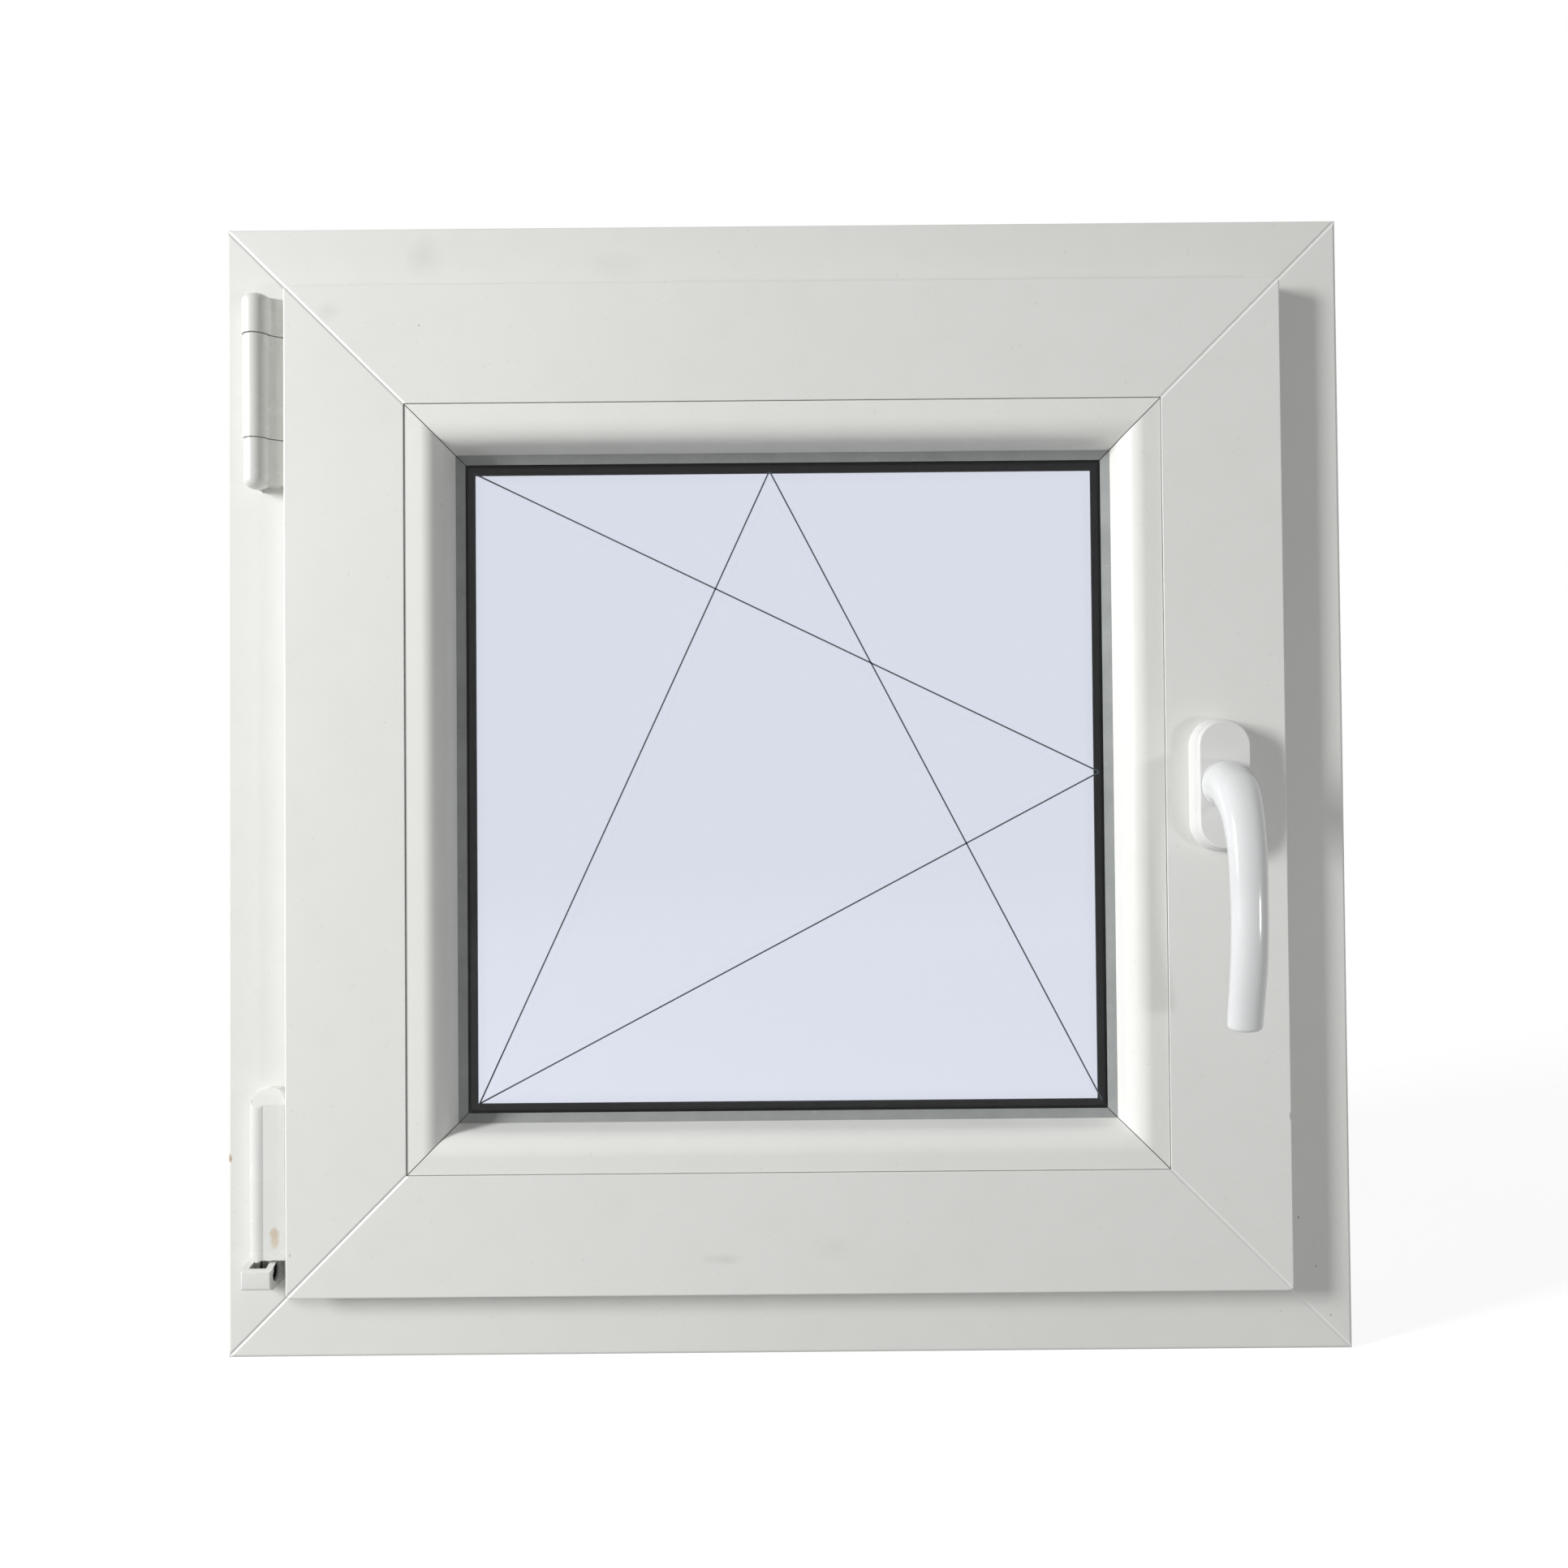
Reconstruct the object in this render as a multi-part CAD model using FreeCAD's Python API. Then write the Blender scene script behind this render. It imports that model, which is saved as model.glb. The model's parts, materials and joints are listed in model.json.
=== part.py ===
import FreeCAD, Part

import math
import os

from FreeCAD import Placement, Rotation, Vector

# Tilt and turn window, closed, seen square on from the room.
# X runs along the sill from the hinge side to the lock side, Y from the room to the weather, Z upwards.
# The origin is the centre of the sill's flat bottom face. All sizes are in millimetres.

# Frame: four mitred profiles with a rebate that faces the room
frame_width = 600.0
frame_height = 606.0
frame_depth = 70.0
frame_leg = 45.5
frame_lip_overlap = 20.0
frame_lip_thickness = 10.5
weather_gap = 3.5
frame_edge_radius = 2.0
frame_lip_radius = 3.0
anchor_groove_width = 8.0
anchor_groove_depth = 3.5
anchor_groove_flare = 1.2
anchor_groove_inset = 15.0

# Sash: four mitred profiles whose flange laps over the frame on the room side
sash_margin = 36.0
sash_face_width = 63.5
sash_proud = 14.0
sash_flange_thickness = 11.0
sash_flange_width = 21.5
sash_edge_radius = 2.5
sash_corner_radius = 3.0
glazing_lip_thickness = 21.0
glazing_lip_slope = 6.0
glazing_lip_flat = 11.0
glazing_lip_radius = 1.5

# Radii up to this size are cut as this many narrow flats
small_radius = 3.0
round_flats = 3

# Weld grooves along the mitres of the frame and of the sash
weld_groove_width = 3.2
weld_groove_depth = 0.5

# Chambers inside the extruded profiles: outer walls and thinner webs
profile_wall = 2.8
profile_web = 1.2
sash_chamber_count = 3

# Glazing beads with their grey gaskets
bead_width = 23.1
bead_draft = 12.0
bead_round = 12.0
bead_gap = 0.3
bead_heel_width = 6.0
bead_gasket_height = 3.0
bead_gasket_reach = 4.5
bead_gasket_cover = 7.0
gasket_tip_height = 1.4

# Double glazed unit
pane_thickness = 4.0
pane_spacing = 16.0
glass_edge_gap = 5.0
seal_height = 5.0
spacer_height = 7.0
packer_length = 80.0
packer_corner_gap = 50.0

# Seals between sash and frame, and between the glass and the sash's weather lip
weather_gasket_height = 3.0
overlap_seal_width = 5.0
overlap_seal_inset = 2.5
weather_seal_width = 4.0
weather_seal_inset = 1.0

# Drain slots in the weather faces of the sill and of the bottom rail
drain_slot_length = 26.0
drain_slot_height = 4.0
drain_slot_spacing = 320.0
sill_drain_rise = 12.0
rail_drain_rise = 10.0

# Top hinge: a round barrel in three lengths, each with a sloping wing against the sash
hinge_cap_radius = 7.7
hinge_sleeve_radius = 7.2
hinge_foot_radius = 6.8
hinge_barrel_offset = 16.1
hinge_split_gap = 0.7
top_hinge_cap_height = 22.3
top_hinge_sleeve_height = 54.8
top_hinge_foot_height = 26.2
top_hinge_drop = 2.4
hinge_dome_height = 5.0
dome_shoulder = 0.86
dome_fall = 0.42
dome_crown = 0.5
hinge_wing_root = 9.8
hinge_wing_edge = 3.6
hinge_wing_setback = 6.0
hinge_wing_corner = 2.4
hinge_wing_edge_radius = 1.0
hinge_side_gap = 0.4
hinge_pin_radius = 3.0

# Lower hinge: a cover with a low round ridge and a flat wing on the sash, over a pivot bracket on the frame
lower_cover_rise = 19.5
lower_cover_height = 89.1
lower_cover_width = 19.0
lower_cover_proud = 12.7
lower_cover_shoulder = 11.1
lower_cover_wing = 11.5
lower_cover_ridge = 15.5
lower_cover_crease = 11.9
lower_cover_ridge_radius = 6.0
lower_cover_shoulder_radius = 1.5
lower_cover_wing_radius = 1.0
lower_cover_hood_height = 10.8
lower_cover_hood_radius = 8.8
lower_cover_brow_height = 2.5
lower_cover_brow_proud = 9.5
lower_cover_rim_proud = 5.3
lower_cover_foot_radius = 3.0
bracket_gap = 0.5
bracket_width = 15.9
bracket_height = 13.6
bracket_proud = 17.5
bracket_side_gap = 6.0
bracket_radius = 1.2
bracket_foot_radius = 2.5
bracket_back = 2.0
bracket_front_drop = 1.3
bracket_brow_depth = 3.8
bracket_wall = 3.5
bracket_front_wall = 2.6
bracket_floor = 3.0
pivot_pin_radius = 2.2
pivot_pin_reach = 14.0
pivot_screw_radius = 4.9
pivot_screw_gap = 0.25
pivot_screw_length = 2.2
pivot_screw_sunk = 1.3
pivot_screw_rise = 7.8
pivot_screw_setback = 9.85
pivot_screw_key = 5.0
pivot_screw_key_depth = 1.6

# Handle: a two part rosette on the lock stile, and a bent lever on a square spindle
handle_backset = 15.0
handle_height = 301.0
rosette_height = 70.0
rosette_width = 30.4
rosette_plate = 7.5
rosette_thickness = 12.0
rosette_taper = 1.5
rosette_seam = 0.35
rosette_edge_radius = 1.0
lever_gap = 0.3
lever_neck_radius = 12.4
lever_width = 18.1
lever_thickness = 14.0
lever_tip_width = 17.4
lever_tip_thickness = 12.4
lever_projection = 44.4
lever_drop = 122.3
lever_tip_projection = 35.5
lever_tip_heading = 103.0
lever_neck_count = 2
lever_bend_count = 2
lever_tip_round = 2.4
lever_tip_steps = ((0.6, 0.2), (1.0, 0.75))
oval_points = 8
oval_power = 0.93
spindle_square = 7.0
spindle_socket = 9.0
spindle_reach = 26.0
spindle_bore = 10.0

# The lever's course: shares of its projection and of its drop, its heading in degrees, and how far its
# width and its thickness have gone from the neck's to the grip's
lever_course = ((0.43, 0.0025, 6, 0.0, 0.09), (0.635, 0.037, 30, 0.13, 0.37), (0.83, 0.131, 58, 0.63, 0.69),
                (0.96, 0.278, 76, 0.87, 0.93), (1.0, 0.49, 88, 1.0, 1.0), (0.96, 0.72, 97, 1.02, 1.04))

# Planes across the depth, from the room to the weather
frame_room = -frame_depth / 2
frame_weather = frame_depth / 2
room_groove = frame_room + anchor_groove_inset
weather_groove = frame_weather - anchor_groove_inset
lip_room = frame_weather - frame_lip_thickness
sash_room = frame_room - sash_proud
sash_weather = lip_room - weather_gap
sash_depth = sash_weather - sash_room
flange_back = sash_room + sash_flange_thickness
glazing_lip_room = sash_weather - glazing_lip_thickness
pane_weather_face = glazing_lip_room - weather_gasket_height
glass_thickness = 2 * pane_thickness + pane_spacing
pane_room_face = pane_weather_face - glass_thickness
bead_back = pane_room_face - bead_gasket_height
bead_height = bead_back - sash_room

# Sizes of the nested rings
sash_width = frame_width - 2 * sash_margin
sash_height = frame_height - 2 * sash_margin
rebate_width = sash_width - 2 * sash_face_width
rebate_height = sash_height - 2 * sash_face_width
sash_body = sash_margin + sash_flange_width
frame_reach = frame_leg + frame_lip_overlap
sash_reach = sash_face_width + bead_width

SIDES = {"bottom": 0, "left": 90, "top": 180, "right": 270}
mid_height = frame_height / 2


def outline(corners):
    """Closed wire through (u, y) or (u, y, radius) corners; small radii are cut as a few narrow flats."""
    count = len(corners)
    ends = []
    edges = []
    for index, corner in enumerate(corners):
        radius = corner[2] if len(corner) > 2 else 0
        here = Vector(0, corner[1], corner[0])
        if not radius:
            ends.append((here, here))
            continue
        before, after = corners[index - 1], corners[(index + 1) % count]
        back = (Vector(0, before[1], before[0]) - here).normalize()
        ahead = (Vector(0, after[1], after[0]) - here).normalize()
        half = back.getAngle(ahead) / 2
        start = here + back * (radius / math.tan(half))
        finish = here + ahead * (radius / math.tan(half))
        centre = here + (back + ahead).normalize() * (radius / math.sin(half))
        middle = centre + (here - centre).normalize() * radius
        arc = Part.Arc(start, middle, finish)
        flats = arc.discretize(round_flats + 1) if radius <= small_radius else []
        edges += [Part.makeLine(a, b) for a, b in zip(flats, flats[1:])] or [arc.toShape()]
        ends.append((start, finish))
    for index in range(count):
        start, finish = ends[index][1], ends[(index + 1) % count][0]
        if (finish - start).Length > 1e-6:
            edges.append(Part.makeLine(start, finish))
    return Part.Wire(Part.__sortEdges__(edges))


def turned(shape, side):
    """A copy of a bottom member, turned about the window's centre to another side."""
    copy = shape.copy()
    copy.rotate(Vector(0, 0, mid_height), Vector(0, 1, 0), SIDES[side])
    return copy


def member(corners, ring_width, ring_height, side, chambers=()):
    """One mitred side of a rectangular ring whose section has the given corners and hollow chambers."""
    upright = side in ("left", "right")
    length, across = (ring_height, ring_width) if upright else (ring_width, ring_height)
    wires = [outline(corners)] + [outline(chamber) for chamber in chambers]
    bar = Part.makeFace(wires, "Part::FaceMakerBullseye").extrude(Vector(length, 0, 0))
    bar.translate(Vector(-length / 2, 0, 0))
    reach = bar.BoundBox.ZMax
    low, high = bar.BoundBox.YMin - 1, bar.BoundBox.YMax + 1
    half, top = length / 2, reach + 1
    mitre = [Vector(-half, low, 0), Vector(half, low, 0),
             Vector(half - top, low, top), Vector(top - half, low, top)]
    wedge = Part.Face(Part.makePolygon(mitre + mitre[:1])).extrude(Vector(0, high - low, 0))
    bar = bar.common(wedge)
    bar.translate(Vector(0, 0, mid_height - across / 2))
    return turned(bar, side)


def weld_grooves(ring_width, ring_height, room, weather):
    """V grooves along the four mitres of a ring, in its room face and in its weather face."""
    grooves = []
    length = 2 * sash_reach
    half = weld_groove_width / 2
    for sign_x in (-1, 1):
        for sign_z in (-1, 1):
            for level, inwards in ((room, weld_groove_depth), (weather, -weld_groove_depth)):
                points = [Vector(0, level - inwards, -2 * half), Vector(0, level - inwards, 2 * half),
                          Vector(0, level + inwards, 0)]
                groove = Part.Face(Part.makePolygon(points + points[:1])).extrude(Vector(length, 0, 0))
                groove.translate(Vector(-length / 4, 0, 0))
                heading = math.degrees(math.atan2(-sign_z, -sign_x))
                groove.rotate(Vector(0, 0, 0), Vector(0, -1, 0), heading)
                groove.translate(Vector(sign_x * ring_width / 2, 0, mid_height + sign_z * ring_height / 2))
                grooves.append(groove)
    return Part.makeCompound(grooves)


def ring(corners, ring_width, ring_height):
    """A whole rectangular ring in one piece, for gaskets and spacers that turn the corner unbroken."""
    sides = [member(corners, ring_width, ring_height, side) for side in SIDES]
    return sides[0].multiFuse(sides[1:]).removeSplitter()


def stadium(height, width, level):
    """A closed wire in the XZ plane with round ends, about the origin, at one level of depth."""
    half, radius = height / 2 - width / 2, width / 2
    right = Part.makeLine(Vector(radius, level, -half), Vector(radius, level, half))
    left = Part.makeLine(Vector(-radius, level, half), Vector(-radius, level, -half))
    top = Part.Arc(Vector(radius, level, half), Vector(0, level, half + radius), Vector(-radius, level, half))
    bottom = Part.Arc(Vector(-radius, level, -half), Vector(0, level, -half - radius),
                      Vector(radius, level, -half))
    return Part.Wire([right, top.toShape(), left, bottom.toShape()])


def upright_prism(corners, low, high):
    """A solid that stands on Z, over (x, y) or (x, y, radius) corners."""
    face = Part.Face(outline(corners))
    face.rotate(Vector(0, 0, 0), Vector(0, 1, 0), 90)
    face.translate(Vector(0, 0, low))
    return face.extrude(Vector(0, 0, high - low))


def front_prism(corners, near, far):
    """A solid that runs back along Y, over (z, x) or (z, x, radius) corners."""
    face = Part.Face(outline(corners))
    face.rotate(Vector(0, 0, 0), Vector(0, 0, 1), -90)
    face.translate(Vector(0, near, 0))
    return face.extrude(Vector(0, far - near, 0))


def anchor_groove(centre):
    """Corners of a dovetailed groove in a frame's outer edge, where fixing lugs clip in."""
    half = anchor_groove_width / 2
    flare = half + anchor_groove_flare
    return [(0, centre + half), (anchor_groove_depth, centre + flare),
            (anchor_groove_depth, centre - flare), (0, centre - half)]


def frame_corners():
    """Section of the frame, with its room leg, rebate and weather lip."""
    legs = [(0, frame_room, frame_edge_radius), (frame_leg, frame_room, frame_edge_radius),
            (frame_leg, lip_room), (frame_reach, lip_room), (frame_reach, frame_weather, frame_lip_radius),
            (0, frame_weather, frame_edge_radius)]
    return legs + anchor_groove(weather_groove) + anchor_groove(room_groove)


def box_corners(start, end, room, weather):
    """Corners of a rectangular chamber, from start to end inwards and from the room to the weather."""
    return [(start, room), (end, room), (end, weather), (start, weather)]


def frame_chambers():
    """The frame's chambers: bands past its two anchor grooves, a main chamber and one through the lip."""
    end = frame_leg - profile_wall
    behind = anchor_groove_depth + profile_wall
    groove = anchor_groove_width / 2 + anchor_groove_flare + profile_web
    lip = lip_room + profile_wall
    bands = [(profile_wall, frame_room + profile_wall, room_groove - groove),
             (behind, room_groove - groove + profile_web, room_groove + groove - profile_web),
             (profile_wall, room_groove + groove, weather_groove - groove),
             (behind, weather_groove - groove + profile_web, lip - profile_web)]
    chambers = [box_corners(start, end, room, weather) for start, room, weather in bands]
    chambers.append(box_corners(profile_wall, frame_reach - profile_wall, lip, frame_weather - profile_wall))
    return chambers


def sash_corners():
    """Section of the sash, with its flange, glazing rebate and weather lip."""
    lip_edge = sash_weather - glazing_lip_flat
    return [(0, sash_room, sash_edge_radius), (sash_face_width, sash_room),
            (sash_face_width, glazing_lip_room), (sash_reach, glazing_lip_room, glazing_lip_radius),
            (sash_reach, lip_edge, glazing_lip_radius),
            (sash_reach - glazing_lip_slope, sash_weather, glazing_lip_radius),
            (sash_flange_width, sash_weather), (sash_flange_width, flange_back), (0, flange_back)]


def sash_chambers():
    """The sash's chambers: one through the flange, a row behind it and one in the weather lip."""
    end = sash_face_width - profile_wall
    chambers = [box_corners(profile_wall, end, sash_room + profile_wall, flange_back - profile_wall)]
    room = flange_back - profile_wall + profile_web
    weather = sash_weather - profile_wall
    pitch = (weather - room + profile_web) / sash_chamber_count
    for index in range(sash_chamber_count):
        start = room + index * pitch
        finish = start + pitch - profile_web
        chambers.append(box_corners(sash_flange_width + profile_wall, end, start, finish))
    lip_edge = sash_weather - glazing_lip_flat
    chambers.append([(end + profile_web, glazing_lip_room + profile_wall),
                     (sash_reach - profile_wall, glazing_lip_room + profile_wall),
                     (sash_reach - profile_wall, lip_edge - profile_web),
                     (sash_reach - profile_wall - glazing_lip_slope, weather), (end + profile_web, weather)])
    return chambers


def bead_corners():
    """Section of a bead: a flat top, a round shoulder, a steep drafted side and a stepped heel."""
    lean = bead_height * math.tan(math.radians(bead_draft))
    return [(bead_gap, sash_room), (bead_width - lean, sash_room, bead_round), (bead_width, bead_back),
            (bead_heel_width, bead_back), (bead_gap, bead_back - bead_gasket_height)]


def gasket_corners(seat, glass, start):
    """Section of a glazing gasket, from its seat to the glass, with a thin lip over the glass."""
    towards = 1 if glass > seat else -1
    tip = bead_width + bead_gasket_reach
    return [(start, seat), (bead_width, seat), (tip, glass - towards * gasket_tip_height), (tip, glass),
            (start, glass)]


def drain_slots(rise, weather):
    """Slots through the outer wall of a weather face, centred a rise above the window's bottom."""
    size = Vector(drain_slot_length, 2 * profile_wall, drain_slot_height)
    centres = [Vector(sign * drain_slot_spacing / 2, weather - profile_wall / 2, rise) for sign in (-1, 1)]
    return Part.makeCompound([Part.makeBox(*size, centre - size / 2) for centre in centres])


def make_frame(parts):
    grooves = weld_grooves(frame_width, frame_height, frame_room, frame_weather)
    names = {"bottom": "frame_sill", "left": "frame_hinge_jamb", "top": "frame_head",
             "right": "frame_lock_jamb"}
    for side, name in names.items():
        profile = member(frame_corners(), frame_width, frame_height, side, frame_chambers())
        parts[name] = profile.cut(grooves)
    parts["frame_sill"] = parts["frame_sill"].cut(drain_slots(sill_drain_rise, frame_weather))


def make_sash(parts):
    grooves = weld_grooves(sash_width, sash_height, sash_room, sash_weather)
    envelope = Part.makeBox(sash_width, sash_depth, sash_height,
                            Vector(-sash_width / 2, sash_room, mid_height - sash_height / 2))
    corners = [edge for edge in envelope.Edges if abs(edge.Length - sash_depth) < 1e-6]
    envelope = envelope.makeFillet(sash_corner_radius, corners)
    names = {"bottom": "sash_bottom_rail", "left": "sash_hinge_stile", "top": "sash_top_rail",
             "right": "sash_lock_stile"}
    for side, name in names.items():
        profile = member(sash_corners(), sash_width, sash_height, side, sash_chambers())
        parts[name] = profile.common(envelope).cut(grooves)
    drains = drain_slots(sash_body + rail_drain_rise, sash_weather)
    parts["sash_bottom_rail"] = parts["sash_bottom_rail"].cut(drains)
    bore = Part.makeBox(spindle_bore, spindle_reach + 2, spindle_bore,
                        Vector(handle_x - spindle_bore / 2, sash_room - 1, handle_height - spindle_bore / 2))
    parts["sash_lock_stile"] = parts["sash_lock_stile"].cut(bore)


def make_glazing(parts):
    for side, name in (("bottom", "bottom"), ("left", "hinge_side"), ("top", "top"), ("right", "lock_side")):
        parts["bead_" + name] = member(bead_corners(), rebate_width, rebate_height, side)
        gasket = gasket_corners(bead_back, pane_room_face, bead_width - bead_gasket_cover)
        parts["bead_gasket_" + name] = member(gasket, rebate_width, rebate_height, side)
    rear_gasket = gasket_corners(glazing_lip_room, pane_weather_face, bead_width - bead_gasket_cover)
    parts["glazing_gasket_weather"] = ring(rear_gasket, rebate_width, rebate_height)

    pane_width = rebate_width - 2 * glass_edge_gap
    pane_height = rebate_height - 2 * glass_edge_gap
    levels = {"glass_pane_room": pane_room_face, "glass_pane_weather": pane_weather_face - pane_thickness}
    for name, level in levels.items():
        parts[name] = Part.makeBox(pane_width, pane_thickness, pane_height,
                                   Vector(-pane_width / 2, level, mid_height - pane_height / 2))
    inner = pane_room_face + pane_thickness
    outer = pane_weather_face - pane_thickness
    seal = [(0, inner), (seal_height, inner), (seal_height, outer), (0, outer)]
    parts["glass_edge_seal"] = ring(seal, pane_width, pane_height)
    bar = [(seal_height, inner), (seal_height + spacer_height, inner), (seal_height + spacer_height, outer),
           (seal_height, outer)]
    parts["glass_spacer"] = ring(bar, pane_width, pane_height)

    packers = []
    packer = [(0, pane_room_face), (glass_edge_gap, pane_room_face), (glass_edge_gap, pane_weather_face),
              (0, pane_weather_face)]
    for side in SIDES:
        upright = side in ("left", "right")
        length, across = (rebate_height, rebate_width) if upright else (rebate_width, rebate_height)
        for end in (-1, 1):
            block = Part.Face(outline(packer)).extrude(Vector(packer_length, 0, 0))
            middle = end * (length / 2 - packer_corner_gap - packer_length / 2)
            block.translate(Vector(middle - packer_length / 2, 0, mid_height - across / 2))
            packers.append(turned(block, side))
    parts["glazing_packers"] = Part.makeCompound(packers)


def make_seals(parts):
    start = overlap_seal_inset
    overlap = [(start, flange_back), (start + overlap_seal_width, flange_back),
               (start + overlap_seal_width, frame_room), (start, frame_room)]
    parts["overlap_seal"] = ring(overlap, sash_width, sash_height)
    end = frame_reach - weather_seal_inset
    weather = [(end - weather_seal_width, sash_weather), (end, sash_weather), (end, lip_room),
               (end - weather_seal_width, lip_room)]
    parts["weather_seal"] = ring(weather, frame_width, frame_height)


def barrel(low, high, radius, dome_at):
    """A length of hinge barrel, turned from a half section about its axis, with a dome at dome_at if any."""
    dome = hinge_dome_height
    points = [(0, low), (radius, low), (radius, high), (0, high)]
    if dome_at == "top":
        points[2:3] = [(radius, high - dome), (dome_shoulder * radius, high - dome_fall * dome),
                       (dome_crown * radius, high)]
    if dome_at == "bottom":
        points[1:2] = [(dome_crown * radius, low), (dome_shoulder * radius, low + dome_fall * dome),
                       (radius, low + dome)]
    section = [Vector(hinge_x + out, hinge_y, level) for out, level in points]
    face = Part.Face(Part.makePolygon(section + section[:1]))
    return face.revolve(Vector(hinge_x, hinge_y, 0), Vector(0, 0, 1), 360)


def hinge_wing(low, high):
    """The plate from the barrel to the sash's side: its front slopes down, its free corners are rounded."""
    right = -sash_width / 2 - hinge_side_gap
    root = frame_room - hinge_wing_root
    plan = [(hinge_x, frame_room), (hinge_x, root), (hinge_x + hinge_wing_setback, root),
            (right, frame_room - hinge_wing_edge, hinge_wing_edge_radius), (right, frame_room)]
    face = [(low, hinge_x - 1), (high, hinge_x - 1), (high, right + 1, hinge_wing_corner + 1),
            (low, right + 1, hinge_wing_corner + 1)]
    return upright_prism(plan, low, high).common(front_prism(face, root - 1, frame_room))


def make_top_hinge(parts):
    top = mid_height + sash_height / 2 - top_hinge_drop
    cap_low = top - top_hinge_cap_height
    sleeve_high = cap_low - hinge_split_gap
    sleeve_low = sleeve_high - top_hinge_sleeve_height
    foot_high = sleeve_low - hinge_split_gap
    foot_low = foot_high - top_hinge_foot_height
    dome = hinge_dome_height
    pin = Part.makeCylinder(hinge_pin_radius, top - foot_low - 2 * dome,
                            Vector(hinge_x, hinge_y, foot_low + dome))
    for name, low, high, radius, dome_at in (
            ("top_hinge_cap", cap_low, top, hinge_cap_radius, "top"),
            ("top_hinge_sleeve", sleeve_low, sleeve_high, hinge_sleeve_radius, ""),
            ("top_hinge_foot", foot_low, foot_high, hinge_foot_radius, "bottom")):
        wing_low = low + (hinge_wing_corner if dome_at == "bottom" else 0)
        wing_high = high - (hinge_wing_corner if dome_at == "top" else 0)
        wing = hinge_wing(wing_low, wing_high)
        parts[name] = barrel(low, high, radius, dome_at).fuse(wing).cut(pin)
    parts["top_hinge_pin"] = pin


def make_lower_hinge(parts):
    right = -sash_width / 2 - hinge_side_gap
    left = right - lower_cover_width
    low = mid_height - sash_height / 2 + lower_cover_rise
    high = low + lower_cover_height
    near = frame_room - lower_cover_proud
    section = [(left, frame_room), (left, frame_room - lower_cover_shoulder, lower_cover_shoulder_radius),
               (right - lower_cover_ridge, near, lower_cover_ridge_radius),
               (right - lower_cover_crease, frame_room - lower_cover_wing),
               (right, frame_room - lower_cover_wing, lower_cover_wing_radius), (right, frame_room)]
    cover = upright_prism(section, low, high)
    side = Part.Face(outline([(low, near), (high - lower_cover_hood_height, near),
                              (high - lower_cover_brow_height, frame_room - lower_cover_brow_proud),
                              (high, frame_room - lower_cover_rim_proud), (high, frame_room),
                              (low, frame_room)]))
    cover = cover.common(side.extrude(Vector(lower_cover_width, 0, 0)).translated(Vector(left, 0, 0)))
    arch = [(low, left, lower_cover_foot_radius), (high, left, lower_cover_hood_radius),
            (high, right, lower_cover_hood_radius), (low, right)]
    cover = cover.common(front_prism(arch, near - 1, frame_room))

    bracket_right = -sash_width / 2 - bracket_side_gap
    bracket_left = bracket_right - bracket_width
    bracket_high = low - bracket_gap
    bracket_low = bracket_high - bracket_height
    front = frame_room - bracket_proud
    profile = Part.Face(outline([(bracket_low, frame_room), (bracket_low, front, bracket_foot_radius),
                                 (bracket_high - bracket_front_drop, front, bracket_radius),
                                 (bracket_high, front + bracket_brow_depth), (bracket_high, frame_room)]))
    bracket = profile.extrude(Vector(bracket_width, 0, 0)).translated(Vector(bracket_left, 0, 0))
    plan = [(bracket_left, frame_room), (bracket_left, front, bracket_radius),
            (bracket_right, front, bracket_radius), (bracket_right, frame_room)]
    bracket = bracket.common(upright_prism(plan, bracket_low, bracket_high))
    floor = bracket_low + bracket_floor
    inner_left, inner_right = bracket_left + bracket_wall, bracket_right - bracket_wall
    pocket = upright_prism([(inner_left, frame_room + 1), (inner_left, front + bracket_front_wall),
                            (inner_right, front + bracket_front_wall), (inner_right, frame_room + 1)],
                           floor, bracket_high + 1)
    screw_z = bracket_low + pivot_screw_rise
    screw_y = frame_room - pivot_screw_setback
    depth = pivot_screw_sunk + pivot_screw_length
    screw_hole = Part.makeCylinder(pivot_screw_radius, depth, Vector(bracket_right - depth, screw_y, screw_z),
                                   Vector(1, 0, 0))
    back = Part.makeBox(bracket_width, bracket_back, bracket_height - bracket_front_drop,
                        Vector(bracket_left, frame_room - bracket_back, bracket_low))
    bracket = bracket.cut(pocket).fuse(back).removeSplitter().cut(screw_hole)
    pin = Part.makeCylinder(pivot_pin_radius, low - floor + pivot_pin_reach, Vector(hinge_x, hinge_y, floor))
    parts["lower_hinge_cover"] = cover.cut(pin)
    parts["lower_hinge_bracket"] = bracket
    parts["lower_hinge_pin"] = pin
    parts["lower_hinge_screw"] = pivot_screw(bracket_right - pivot_screw_sunk, screw_y, screw_z)


def pivot_screw(face, y, z):
    """The sideways adjusting screw, with a six sided key socket in its face."""
    screw = Part.makeCylinder(pivot_screw_radius - pivot_screw_gap, pivot_screw_length,
                              Vector(face - pivot_screw_length, y, z), Vector(1, 0, 0))
    across = pivot_screw_key / math.sqrt(3)
    angles = [math.radians(60 * step) for step in range(7)]
    points = [Vector(face, y + across * math.sin(angle), z + across * math.cos(angle)) for angle in angles]
    socket = Part.Face(Part.makePolygon(points)).extrude(Vector(-pivot_screw_key_depth, 0, 0))
    return screw.cut(socket)


def lever_path():
    """Stations of the lever: how far proud of the sash, how far below its axis, heading, width, thickness."""
    neck = 2 * lever_neck_radius
    course = [(out * lever_projection, -down * lever_drop, heading, neck + across * (lever_width - neck),
               neck + through * (lever_thickness - neck))
              for out, down, heading, across, through in lever_course]
    return [(rosette_thickness + lever_gap, 0, 0, neck, neck), *course,
            (lever_tip_projection, lever_tip_round - lever_drop, lever_tip_heading, lever_tip_width,
             lever_tip_thickness)]


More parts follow.
